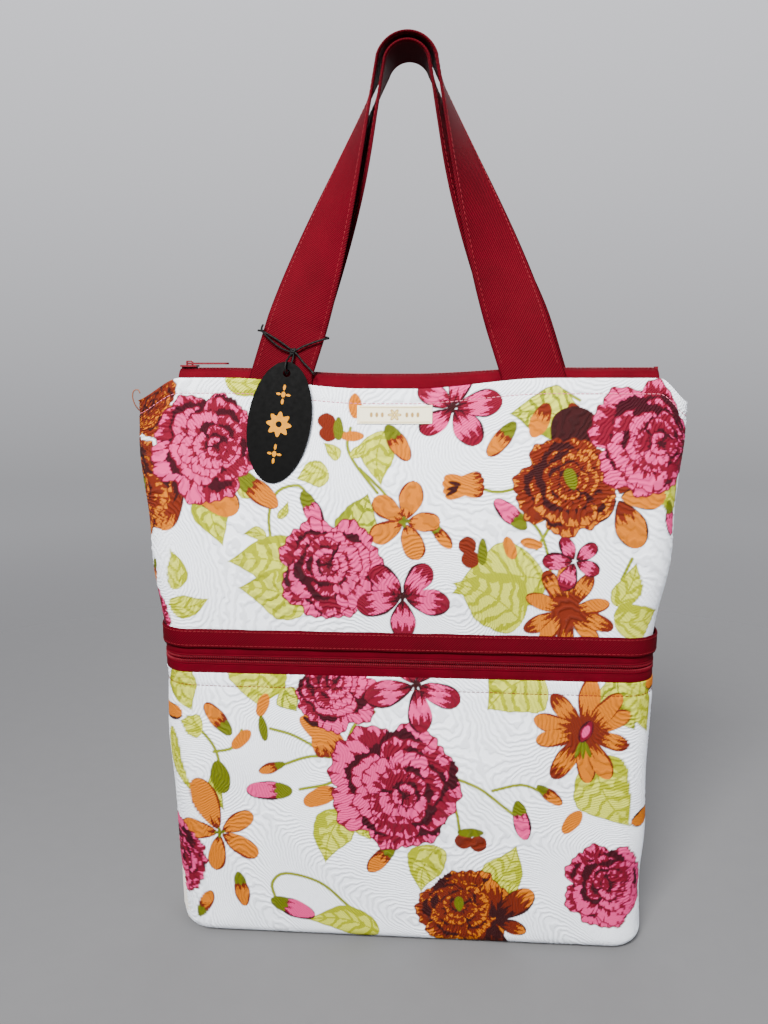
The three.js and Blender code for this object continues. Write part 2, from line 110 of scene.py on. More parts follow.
# --- Small number helpers --------------------------------------------------------------------
def smoothstep(value, low, high):
    share = np.clip((value - low) / (high - low), 0.0, 1.0)
    return share * share * (3.0 - 2.0 * share)


def linear(hex_colour):
    """A colour such as E57FB0 as the shader's linear red, green and blue."""
    parts = np.array([int(hex_colour[i:i + 2], 16) for i in (0, 2, 4)]) / 255.0
    return np.where(parts <= 0.04045, parts / 12.92, ((parts + 0.055) / 1.055) ** 2.4)


def waves(u, v, scale, seed):
    """A smooth random-looking field between about -1 and 1, with features of about scale mm."""
    k = 2.0 * math.pi / scale
    total = np.sin(k * u + seed + 1.3 * np.sin(0.61 * k * v + 2.1 * seed))
    total += np.sin(0.83 * k * v + 1.7 * seed + 1.1 * np.sin(0.57 * k * u + seed))
    total += 0.7 * np.sin(0.71 * k * (u + v) + 3.1 * seed)
    return total / 2.7


def unit(vectors):
    return vectors / np.maximum(np.linalg.norm(vectors, axis=-1, keepdims=True), 1e-9)


# --- Meshes ----------------------------------------------------------------------------------
def grid_faces(rows, columns, wrap_rows=False, wrap_columns=False):
    r = np.arange(rows if wrap_rows else rows - 1)
    c = np.arange(columns if wrap_columns else columns - 1)
    r0, c0 = np.meshgrid(r, c, indexing="ij")
    r1, c1 = (r0 + 1) % rows, (c0 + 1) % columns
    corners = [r0 * columns + c0, r0 * columns + c1, r1 * columns + c1, r1 * columns + c0]
    return np.stack(corners, axis=-1).reshape(-1, 4)


def new_piece(name, mesh, material):
    mesh.materials.append(material)
    piece = bpy.data.objects.new(name, mesh)
    bpy.context.scene.collection.objects.link(piece)
    return piece


def quad_piece(name, points, faces, material, smooth=True):
    points = np.asarray(points, float).reshape(-1, 3) * MM
    mesh = bpy.data.meshes.new(name)
    mesh.vertices.add(len(points))
    mesh.vertices.foreach_set("co", points.astype(np.float32).ravel())
    mesh.loops.add(faces.size)
    mesh.loops.foreach_set("vertex_index", faces.astype(np.int32).ravel())
    mesh.polygons.add(len(faces))
    mesh.polygons.foreach_set("loop_start", np.arange(0, faces.size, 4, dtype=np.int32))
    mesh.polygons.foreach_set("use_smooth", np.full(len(faces), smooth))
    mesh.update(calc_edges=True)
    return new_piece(name, mesh, material)


def face_list_piece(name, points, faces, material, smooth=True):
    mesh = bpy.data.meshes.new(name)
    mesh.from_pydata((np.asarray(points) * MM).tolist(), [], faces)
    mesh.polygons.foreach_set("use_smooth", np.full(len(mesh.polygons), smooth))
    mesh.update()
    return new_piece(name, mesh, material)


def add_vectors(piece, name, vectors):
    layer = piece.data.attributes.new(name, "FLOAT_VECTOR", "POINT")
    layer.data.foreach_set("vector", np.asarray(vectors, np.float32).ravel())


def add_colours(piece, name, colours):
    layer = piece.data.attributes.new(name, "FLOAT_COLOR", "POINT")
    filled = np.ones((len(colours), 4), np.float32)
    filled[:, :3] = colours
    layer.data.foreach_set("color", filled.ravel())


def capped_sweep(name, rings, material, strip=None, closed=False):
    """A solid from rings of points, shaped (rings, points, 3), with flat ends unless it is closed."""
    count, sides = rings.shape[:2]
    faces = grid_faces(count, sides, wrap_rows=closed, wrap_columns=True).tolist()
    if not closed:
        faces.append(list(range(sides))[::-1])
        faces.append([(count - 1) * sides + i for i in range(sides)])
    piece = face_list_piece(name, rings.reshape(-1, 3), faces, material)
    if strip is not None:
        add_vectors(piece, "strip", strip.reshape(-1, 3))
    return piece


def beads(name, centres, along, out, size, material, sides=8):
    """Small rounded rods, one at each centre: size is (length, width, height)."""
    along, out = unit(np.asarray(along, float)), np.asarray(out, float)
    out = unit(out - along * (out * along).sum(-1, keepdims=True))
    across = np.cross(along, out)
    stops = [(-0.5, 0.45), (-0.4, 0.85), (-0.2, 1.0), (0.2, 1.0), (0.4, 0.85), (0.5, 0.45)]
    turn = 2.0 * math.pi * np.arange(sides) / sides
    shape = np.array([
        (s * size[0], r * math.cos(a) * size[1] / 2, r * math.sin(a) * size[2] / 2)
        for s, r in stops for a in turn
    ])
    points = (
        np.asarray(centres)[:, None, :]
        + along[:, None, :] * shape[None, :, 0:1]
        + across[:, None, :] * shape[None, :, 1:2]
        + out[:, None, :] * shape[None, :, 2:3]
    )
    one = grid_faces(len(stops), sides, wrap_columns=True).tolist()
    one.append(list(range(sides))[::-1])
    one.append([(len(stops) - 1) * sides + i for i in range(sides)])
    faces = [[n * len(shape) + i for i in face] for n in range(len(points)) for face in one]
    return face_list_piece(name, points.reshape(-1, 3), faces, material)


def distances(points):
    """How far along a line of points each of them lies."""
    steps = np.linalg.norm(np.diff(points, axis=0), axis=1)
    return np.concatenate([[0.0], np.cumsum(steps)])


def along_line(points, spacing):
    """Places a fixed distance apart on a line of points, and the line's direction at each."""
    points = np.asarray(points, float)
    run = distances(points)
    at = np.arange(spacing / 2, run[-1], spacing)
    places = np.stack([np.interp(at, run, points[:, i]) for i in range(3)], axis=1)
    ahead = np.stack([np.interp(at + 0.2, run, points[:, i]) for i in range(3)], axis=1)
    behind = np.stack([np.interp(at - 0.2, run, points[:, i]) for i in range(3)], axis=1)
    return places, unit(ahead - behind)


def stitches(name, points, out, material, spacing=3.2, thread=0.42):
    """A row of running stitches on a line of points; out is the surface's normal there."""
    places, direction = along_line(points, spacing)
    run = np.linspace(0.0, 1.0, len(points))
    at = np.linspace(0.0, 1.0, len(places))
    out = np.broadcast_to(np.asarray(out, float), np.shape(points))
    normal = np.stack([np.interp(at, run, out[:, i]) for i in range(3)], axis=1)
    size = (spacing * 0.74, thread, thread)
    return beads(name, places, direction, normal, size, material, sides=6)


# --- The bag's wall, as in the CAD model, with the hang of the real cloth ---------------------
def hang(x, z):
    """How far the top edge sags between the handles, at height z."""
    return 7.0 * (1.0 - smoothstep(np.abs(x + 12.0), 15.0, 105.0)) * smoothstep(z, 325.0, 392.0)


def wall_section(z):
    """Shares of the way up each half, and the section's half width, half depth and corner."""
    lower = np.clip(z / LOWER_TOP, 0.0, 1.0)
    upper = np.clip((z - UPPER_FOOT) / (CLOTH_TOP - UPPER_FOOT), 0.0, 1.0)
    half_width = 164.0 + 6.0 * lower + 13.0 * np.sin(upper * math.pi / 2)
    half_depth = 33.0 - 9.0 * lower ** 1.5 - 10.5 * upper ** 2
    return lower, upper, half_width, half_depth, half_depth - (9.0 - 7.0 * lower)


def wall(station, z, inset=0.0):
    """A point on the bag's wall. Stations 0, 10, 20 and 30 are the left, front, right and back."""
    station, z, inset = np.broadcast_arrays(
        np.asarray(station, float), np.asarray(z, float), np.asarray(inset, float))
    lower, upper, half_width, half_depth, corner = wall_section(z)
    crown = 5.0 * (np.sin(math.pi * lower) + np.sin(math.pi * upper))
    below = np.clip(BASE_ROUNDING - z, 0.0, BASE_ROUNDING)
    turn_under = BASE_ROUNDING - np.sqrt(BASE_ROUNDING ** 2 - below ** 2)
    radius = corner - inset - turn_under

    wrapped = station % (2 * HALF_LOOP)
    on_back = wrapped > HALF_LOOP
    half = np.where(on_back, wrapped - HALF_LOOP, wrapped)
    mirrored = half > 10.0
    near = np.where(mirrored, HALF_LOOP - half, half)
    angle = np.clip((near - 1.0) / 5.0, 0.0, 1.0) * math.pi / 2
    share = np.clip((near - 6.0) / 4.0, 0.0, 1.0)
    x = -(half_width - corner) - radius * np.cos(angle)
    x = np.where(near > 6.0, -(half_width - corner) * (1.0 - share), x)
    y = -(half_depth - corner) * np.clip(near, 0.0, 1.0) - radius * np.sin(angle)
    y -= crown * (1.0 - (1.0 - share) ** 2)
    x = np.where(mirrored, -x, x)
    x = np.where(on_back, -x, x)
    y = np.where(on_back, -y, y)

    zip_end = np.where(x < 0.0, -MOUTH_LEFT, MOUTH_RIGHT)
    drop = 15.0 * smoothstep((np.abs(x) - zip_end + 2.0) / (185.0 - zip_end), 0.0, 1.0)
    drop = drop * smoothstep(z, CLOTH_TOP - 60.0, CLOTH_TOP)
    lean = 4.0 * (1.0 - lower) ** 2
    return np.stack([x + lean, y, z - drop - hang(x, z)], axis=-1)


def front_station(x, z):
    """The station of a place on the front's straight run."""
    _, _, half_width, _, corner = wall_section(z)
    return 10.0 + x / (half_width - corner) * 4.0


def loop_stations(step_front, step_back, first=0.0, last=40.0):
    """Stations all round the wall: close together on the corners, step mm apart on the runs."""
    straight = 344.0
    parts = []
    for start, step in ((0.0, step_front), (20.0, step_back)):
        parts.append(start + np.linspace(0.0, 1.0, 4, endpoint=False))
        parts.append(start + np.linspace(1.0, 6.0, 24, endpoint=False))
        parts.append(start + np.linspace(6.0, 14.0, int(straight / step), endpoint=False))
        parts.append(start + np.linspace(14.0, 19.0, 24, endpoint=False))
        parts.append(start + np.linspace(19.0, 20.0, 4, endpoint=False))
    stations = np.concatenate(parts)
    return stations[(stations >= first) & (stations <= last)]


def grid_normals(points):
    """Outward normals of a grid that wraps round in its columns."""
    along = np.roll(points, -1, axis=1) - np.roll(points, 1, axis=1)
    up = np.gradient(points, axis=0)
    return unit(np.cross(along, up))


# --- The printed flowers ---------------------------------------------------------------------
# The print is painted on the cloth's own points, so it is as fine as the mesh. Places and sizes
# are in millimetres on the cloth; angles are in degrees, anticlockwise from the right.
PINK, CRIMSON, MAROON = (0.54, 0.036, 0.155), (0.120, 0.0015, 0.012), (0.028, 0.0006, 0.004)
ORANGE, RUST, BROWN = (0.41, 0.110, 0.0001), (0.105, 0.010, 0.002), (0.022, 0.0025, 0.003)
LEAF, VEIN = (0.245, 0.265, 0.001), (0.45, 0.47, 0.045)
OLIVE, DARK_LEAF = (0.085, 0.098, 0.002), (0.155, 0.18, 0.002)
GROUND = (0.80, 0.835, 0.90)

LIGHT_PETAL = [(0.14, MAROON), (0.50, CRIMSON), (9.0, PINK)]
DEEP_PETAL = [(0.26, MAROON), (0.84, CRIMSON), (9.0, PINK)]
AMBER_PETAL = [(0.34, BROWN), (0.76, RUST), (9.0, ORANGE)]
RUST_PETAL = [(0.46, BROWN), (0.94, RUST), (9.0, ORANGE)]
ORANGE_PETAL = [(0.16, RUST), (9.0, ORANGE)]
DAISY_PETAL = [(0.34, RUST), (9.0, ORANGE)]
DAISY_RUST_PETAL = [(0.45, RUST), (0.75, ORANGE), (9.0, RUST)]
MAGENTA_PETAL = [(0.12, MAROON), (0.30, CRIMSON), (0.66, PINK), (9.0, CRIMSON)]
PINK_BUD = [(0.30, CRIMSON), (9.0, PINK)]
BROWN_BUD = [(0.38, RUST), (9.0, ORANGE)]
PLAIN_ORANGE = [(9.0, ORANGE)]
PLAIN_RUST = [(9.0, RUST)]
PLAIN_BROWN = [(9.0, BROWN)]
PLAIN_OLIVE = [(9.0, OLIVE)]
EDGE = 0.7               # width of a printed edge's blur


def streaks(t, seed):
    """The jagged brush marks where one printed colour runs into the next."""
    total = 0.50 * np.sin(9.0 * t + seed) + 0.32 * np.sin(21.0 * t + 2.1 * seed)
    return total + 0.22 * np.sin(37.0 * t + 3.7 * seed)


def banded(tone, bands):
    """Flat colours chosen by tone: bands is [(upper limit, colour), ...] from the base out."""
    colour = np.empty(tone.shape + (3,), np.float32)
    colour[:] = bands[-1][1]
    for limit, shade in reversed(bands[:-1]):
        colour[tone < limit] = shade
    return colour


class Print:
    """The cloth's colours, at points with the coordinates u (round the bag) and v (up)."""

    def __init__(self, u, v, ground):
        self.u, self.v = u, v
        self.colour = np.tile(np.asarray(ground, np.float32), (len(u), 1))

    def near(self, x, y, reach):
        return np.nonzero((np.abs(self.u - x) < reach) & (np.abs(self.v - y) < reach))[0]

    def turned(self, at, x, y, angle):
        """Coordinates along and across a direction, from (x, y)."""
        du, dv = self.u[at] - x, self.v[at] - y
        c, s = math.cos(math.radians(angle)), math.sin(math.radians(angle))
        return du * c + dv * s, dv * c - du * s

    def lay(self, at, colour, cover):
        cover = np.clip(cover, 0.0, 1.0)[:, None].astype(np.float32)
        self.colour[at] = self.colour[at] * (1.0 - cover) + np.asarray(colour, np.float32) * cover

    def petal(self, x, y, angle, start, length, width, bands, rim=None, seed=1.0, blunt=1.3,
              jagged=0.16, rim_width=0.9):
        """One petal, bud or plain leaf, which begins start mm from (x, y)."""
        at = self.near(x, y, abs(start) + length + 2.0)
        along, across = self.turned(at, x, y, angle)
        share = (along - start) / length
        inside = np.clip(share, 0.0, 1.0)
        bent = inside ** blunt
        half = width * np.sqrt(bent * (1.0 - bent))
        half = half * (1.0 + 0.035 * np.sin(9.0 * share + seed * 3.0))
        cover = (half - np.abs(across)) / EDGE + 0.5
        cover[(share <= 0.0) | (share >= 1.0)] = 0.0
        t = across / width
        tone = share + jagged * streaks(2.4 * t, seed)
        colour = banded(tone, bands)
        if rim is not None:
            side = np.sign(across) * math.cos(seed * 5.0)
            thick = rim_width * (1.0 + 0.8 * side + 0.5 * np.sin(9.0 * share + seed))
            colour[half - np.abs(across) < thick] = rim
        self.lay(at, colour, cover)

    def ruffle(self, x, y, angle, inner, outer, spread, bands, seed, squeeze=1.0):
        """One wide frilled petal of a full flower, spread degrees each side of angle."""
        at = self.near(x, y, outer * 1.15)
        along, across = self.turned(at, x, y, angle)
        distance = np.hypot(along, across / squeeze)
        t = np.degrees(np.arctan2(across, along)) / spread
        frill = 0.030 * np.sin(6.0 * t + seed) + 0.018 * np.sin(15.0 * t + 2.0 * seed)
        edge = outer * (1.0 - 0.24 * np.abs(t) ** 2.6 + frill)
        side = (1.0 - np.abs(t)) * math.radians(spread) * distance
        share = (distance - inner) / (edge - inner)
        cover = np.minimum(edge - distance, side) / EDGE + 0.5
        cover[(np.abs(t) > 1.0) | (share < -0.3)] = 0.0
        shadow, body = bands[0][1], bands[1][1]
        colour = banded(share + 0.20 * streaks(1.25 * t, seed), bands)
        notch = np.clip(streaks(1.5 * t + 2.0, 1.3 * seed), 0.0, 1.0)
        colour[1.0 - share < 0.40 * notch ** 1.5] = body
        colour[edge - distance < 0.9] = body
        fold = np.abs(t - 0.35 * math.sin(seed)) + 0.5 * share
        colour[(fold < 0.20 + 0.06 * streaks(2.0 * share, seed)) & (share < 0.5)] = shadow
        colour[side < 0.6] = shadow
        self.lay(at, colour, cover)

    def dark_ring(self, x, y, reach, colour, seed):
        """The jagged shadow that a ring of petals throws on the ring outside it."""
        at = self.near(x, y, reach * 1.2)
        along, across = self.turned(at, x, y, 0.0)
        angle = np.arctan2(across, along)
        edge = reach * (1.0 + 0.09 * np.sin(5.0 * angle + seed) + 0.05 * streaks(2.0 * angle, seed))
        self.lay(at, colour, (edge - np.hypot(along, across)) / EDGE)

    def full_flower(self, x, y, size, light, deep, seed, heart=None, turn=0.0):
        """A peony: rings of frilled petals, each ring laid over the one outside it."""
        rings = (
            (1.00, 8, 0.42, 30.0), (0.80, 6, 0.32, 38.0), (0.58, 5, 0.18, 42.0),
            (0.39, 4, 0.08, 50.0), (0.21, 3, 0.02, 60.0),
        )
        toward = math.radians(turn)
        for ring, (share, count, inner, spread) in enumerate(rings):
            shift = size * 0.5 * (1.0 - share) * 0.22
            cx, cy = x + shift * math.cos(toward), y + shift * math.sin(toward)
            if ring:
                lift = size * (0.045 if ring == 2 else 0.02)
                self.dark_ring(cx - lift * math.sin(toward), cy + lift * math.cos(toward),
                               size * 0.5 * share, light[0][1], seed + ring)
            for n in range(count):
                key = seed + 7.7 * ring + 2.3 * n
                angle = turn + 360.0 * n / count + 33.0 * ring + 9.0 * math.sin(key)
                reach = size * 0.5 * share * (1.0 + 0.09 * math.sin(3.1 * key))
                shaded = math.cos(math.radians(angle - turn - 60.0)) + 0.9 * math.sin(1.9 * key)
                bands = deep if shaded > 0.0 else light
                self.ruffle(cx, cy, angle, size * 0.5 * inner, reach, spread, bands, key)
        if heart is not None:
            self.petal(cx, cy, turn + 30.0, -size * 0.11, size * 0.22, size * 0.12, heart, None, seed)

    def open_flower(self, x, y, sizes, bands, rim, seed, heart=None, width=0.5, blunt=1.4, turn=90):
        """Separate petals round a small heart; sizes are the petals' lengths."""
        if len(sizes) > 6:
            self.petal(x, y, turn, -sizes[0] * 0.28, sizes[0] * 0.56, sizes[0] * 0.56, PLAIN_RUST)
        for n, length in enumerate(sizes):
            angle = turn + 360.0 * n / len(sizes) + 7.0 * math.sin(seed + 2.0 * n)
            key = seed + 1.7 * n
            kind = bands[n % len(bands)] if isinstance(bands[0], list) else bands
            self.petal(x, y, angle, length * 0.06, length, length * width, kind, rim, key, blunt)
        if heart is not None:
            for n in range(4):
                self.petal(x, y, 80.0 * n + 20.0, -1.0, 5.0, 2.6, heart, None, seed, 1.0)

    def leaf(self, x, y, angle, length, width, shade=LEAF, vein=VEIN, seed=1.0):
        """A veined leaf that grows from (x, y), with a notched edge."""
        at = self.near(x, y, length + 2.0)
        along, across = self.turned(at, x, y, angle)
        share = along / length
        across = across + 0.10 * length * np.sin(math.pi * share)
        inside = np.clip(share, 0.0, 1.0)
        half = width / 2 * np.sin(math.pi * inside ** 0.66) ** (0.7 + 0.5 * inside)
        half = half * (1.0 + 0.06 * np.sin(11.0 * share + seed) * np.sign(across + 0.01))
        half = half * (1.0 + 0.04 * np.abs(np.sin(19.0 * share + 2.0 * seed)))
        cover = (half - np.abs(across)) / EDGE + 0.5
        cover[(share <= 0.0) | (share >= 1.0)] = 0.0
        brush = waves(self.u[at], self.v[at], 12.0, seed)
        mottle = waves(self.u[at], self.v[at], 4.0, seed)
        rib = np.sin(2.0 * math.pi * (0.11 * length * share - 2.4 * np.abs(across) / width) + 1.5 * brush)
        colour = np.empty(share.shape + (3,), np.float32)
        colour[:] = vein
        colour[rib + 0.35 * mottle > 0.50] = shade
        colour[np.abs(across) < 0.5] = shade
        margin = half * (0.62 + 0.3 * brush) if length > 25.0 else half * 0.8
        colour[(np.abs(across) > margin) & (across * math.cos(seed) > 0.0)] = shade
        colour[np.abs(across) > half - 1.0] = shade
        self.lay(at, colour, cover)

    def stem(self, places, width=2.3, shade=DARK_LEAF):
        line = np.asarray(smooth_line([(a, b, 0.0) for a, b in places], 3.0))[:, :2]
        middle, reach = line.mean(0), np.ptp(line, axis=0).max() / 2 + 6.0
        at = self.near(middle[0], middle[1], reach + 4.0)
        if len(at) == 0:
            return
        spots = np.stack([self.u[at], self.v[at]], axis=1)[:, None, :]
        start, step = line[:-1][None], np.diff(line, axis=0)[None]
        share = ((spots - start) * step).sum(-1) / np.maximum((step ** 2).sum(-1), 1e-6)
        nearest = start + np.clip(share, 0.0, 1.0)[..., None] * step
        distance = np.sqrt(((spots - nearest) ** 2).sum(-1)).min(1)
        self.lay(at, shade, (width / 2 - distance) / EDGE + 0.5)

    def bud(self, x, y, angle, length, bands, rim, seed=1.0, cup=PLAIN_OLIVE):
        """A closed bud that points along angle, held in a green cup."""
        self.petal(x, y, angle, -length * 0.5, length, length * 0.50, bands, rim, seed, 0.9)
        for tilt in (-28.0, 0.0, 28.0):
            back = math.radians(angle)
            bx, by = x - length * 0.60 * math.cos(back), y - length * 0.60 * math.sin(back)
            self.petal(bx, by, angle + tilt, -2.0, length * 0.46, length * 0.22, cup, None, seed, 0.8)


def smooth_line(points, step):
    """A Catmull-Rom curve through the points, as points about step mm apart."""
    p = np.asarray(points, float)
    p = np.concatenate([[2 * p[0] - p[1]], p, [2 * p[-1] - p[-2]]])
    line = []
    for i in range(1, len(p) - 2):
        count = max(int(np.linalg.norm(p[i + 1] - p[i]) / step), 2)
        for t in np.linspace(0.0, 1.0, count, endpoint=False):
            a = 2 * p[i] + (p[i + 1] - p[i - 1]) * t
            b = (2 * p[i - 1] - 5 * p[i] + 4 * p[i + 1] - p[i + 2]) * t ** 2
            c = (3 * p[i] - 3 * p[i + 1] + p[i + 2] - p[i - 1]) * t ** 3
            line.append((a + b + c) / 2)
    line.append(p[-2])
    return np.array(line)


STEMS = (
    ((-86, 266), (-89, 285), (-90, 303), (-84, 318), (-70, 322), (-63, 314)),
    ((-18, 318), (-32, 336), (-38, 350), (-36, 364)), ((-36, 358), (-50, 366)),
    ((-2, 300), (-12, 316), (-30, 334)), ((47, 322), (60, 319), (74, 322)),
    ((97, 258), (93, 280), (86, 296), (74, 306)), ((86, 282), (96, 300)),
    ((45, 278), (60, 274), (72, 270)), ((-56, 140), (-76, 150), (-92, 154)),
    ((-20, 168), (-34, 158), (-40, 140)), ((-34, 134), (-62, 136), (-86, 128)),
    ((-36, 132), (-50, 118), (-72, 112)), ((24, 128), (50, 118), (68, 104), (76, 98)),
    ((60, 116), (80, 120), (96, 114)), ((20, 118), (34, 104), (38, 84)),
    ((-130, 94), (-128, 120), (-132, 140), (-150, 160)), ((-132, 136), (-118, 140), (-112, 152)),
    ((-40, 26), (-60, 44), (-84, 50), (-94, 42), (-92, 30)), ((-150, 14), (-146, 26)),
    ((100, 385), (112, 378)), ((142, 262), (148, 276)),
)
LEAVES = (   # base, direction, length, width
    (92, 262, 190, 62, 44), (78, 232, 150, 54, 40), (-60, 262, 172, 60, 38), (-66, 240, 165, 48, 34),
    (-128, 326, -82, 46, 28), (-110, 328, -40, 22, 16), (-40, 288, 62, 34, 26), (-14, 362, -92, 40, 24),
    (-44, 340, 130, 16, 9), (-36, 342, 50, 16, 8), (-50, 330, 190, 22, 18), (139, 244, 68, 32, 18),
    (138, 234, 10, 34, 26), (112, 362, 170, 46, 34), (118, 352, 150, 30, 22), (-156, 250, 96, 28, 15),
    (-162, 238, 12, 30, 16), (-120, 390, 8, 34, 18), (-84, 300, 60, 14, 6), (-92, 288, 175, 16, 9),
    (-82, 182, -60, 18, 16), (-96, 200, -95, 32, 40), (-158, 196, -70, 34, 26), (-40, 98, -112, 42, 28),
    (-30, 96, -70, 20, 14), (92, 196, 215, 44, 46), (128, 140, -62, 56, 40), (142, 196, -70, 40, 34),
    (158, 196, -75, 44, 22), (22, 76, -108, 38, 26), (54, 42, 58, 42, 28), (60, 36, 40, 24, 14),
    (-20, 8, 172, 52, 22), (-166, 150, -68, 50, 14), (-132, 122, -78, 30, 10), (-140, 150, 160, 18, 16),
    (174, 330, -84, 30, 18), (-182, 350, -90, 26, 16),
)


def paint_small_things(cloth):
    """The buds, small leaves and loose petals between the flowers."""
    for x, y, angle, length in (
        (61, 352, 232, 24), (-4, 351, -62, 26), (-96, 317, -38, 30), (25, 289, -50, 18),
        (-130, 161, 130, 24), (-93, 126, 200, 16), (100, 112, -38, 18), (-18, 63, 228, 24),
        (-116, 34, -82, 22), (-143, 24, 60, 20), (-178, 258, 250, 18),
    ):
        cloth.bud(x, y, angle, length, BROWN_BUD, RUST, seed=0.1 * x)
    for x, y, angle, length in (
        (-60, 304, -62, 24), (67, 306, 138, 24), (-96, 110, 182, 28), (80, 93, -78, 24),
        (-78, 23, -20, 28), (174, 300, -80, 20),
    ):
        cloth.bud(x, y, angle, length, PINK_BUD, MAROON, seed=0.1 * x + 1.0)
    for x, y, angle, length, bands in (
        (66, 290, -70, 16, PLAIN_ORANGE), (90, 284, 168, 15, PLAIN_ORANGE),
        (-33, 371, 92, 18, PLAIN_ORANGE), (-27, 358, 182, 16, PLAIN_ORANGE),
        (-46, 113, 205, 26, ORANGE_PETAL), (120, 102, 232, 20, PLAIN_ORANGE),
        (-100, 162, 70, 17, PLAIN_ORANGE), (-106, 152, 225, 18, PLAIN_ORANGE),
        (100, 371, -88, 26, BROWN_BUD), (92, 376, -115, 24, BROWN_BUD), (106, 376, -60, 20, BROWN_BUD),
    ):
        cloth.petal(x, y, angle, 0.0, length, length * 0.5, bands, None, 0.1 * x, 1.0)
    for x, y in ((41, 284), (43, 275), (-52, 368), (-51, 359), (40, 80), (50, 78)):
        cloth.petal(x, y, 180.0, -6.0, 12.0, 12.0, PLAIN_RUST, None, 1.0, 0.9)
    for x, y, angle in ((51, 280, 90), (-44, 363, 90), (45, 86, 0), (-97, 154, 100)):
        cloth.petal(x, y, angle, -9.0, 18.0, 6.5, PLAIN_OLIVE, None, 1.0, 0.9)
    cloth.petal(-128, 118, 100, -12.0, 24.0, 14.0, PLAIN_OLIVE, None, 1.0, 0.9)


def paint_tulip(cloth, x, y, angle, size):
    for n, tilt in enumerate((-30.0, 30.0, -12.0, 12.0)):
        cloth.petal(x, y, angle + tilt, -size * 0.5, size, size * 0.42, ORANGE_PETAL, None, n, 0.95)
    for n, tilt in enumerate((-20.0, 8.0, 24.0)):
        cloth.petal(x, y, angle + tilt, size * (0.06 + 0.05 * n), size * 0.30, size * 0.10,
                    PLAIN_BROWN, None, n, 0.8)


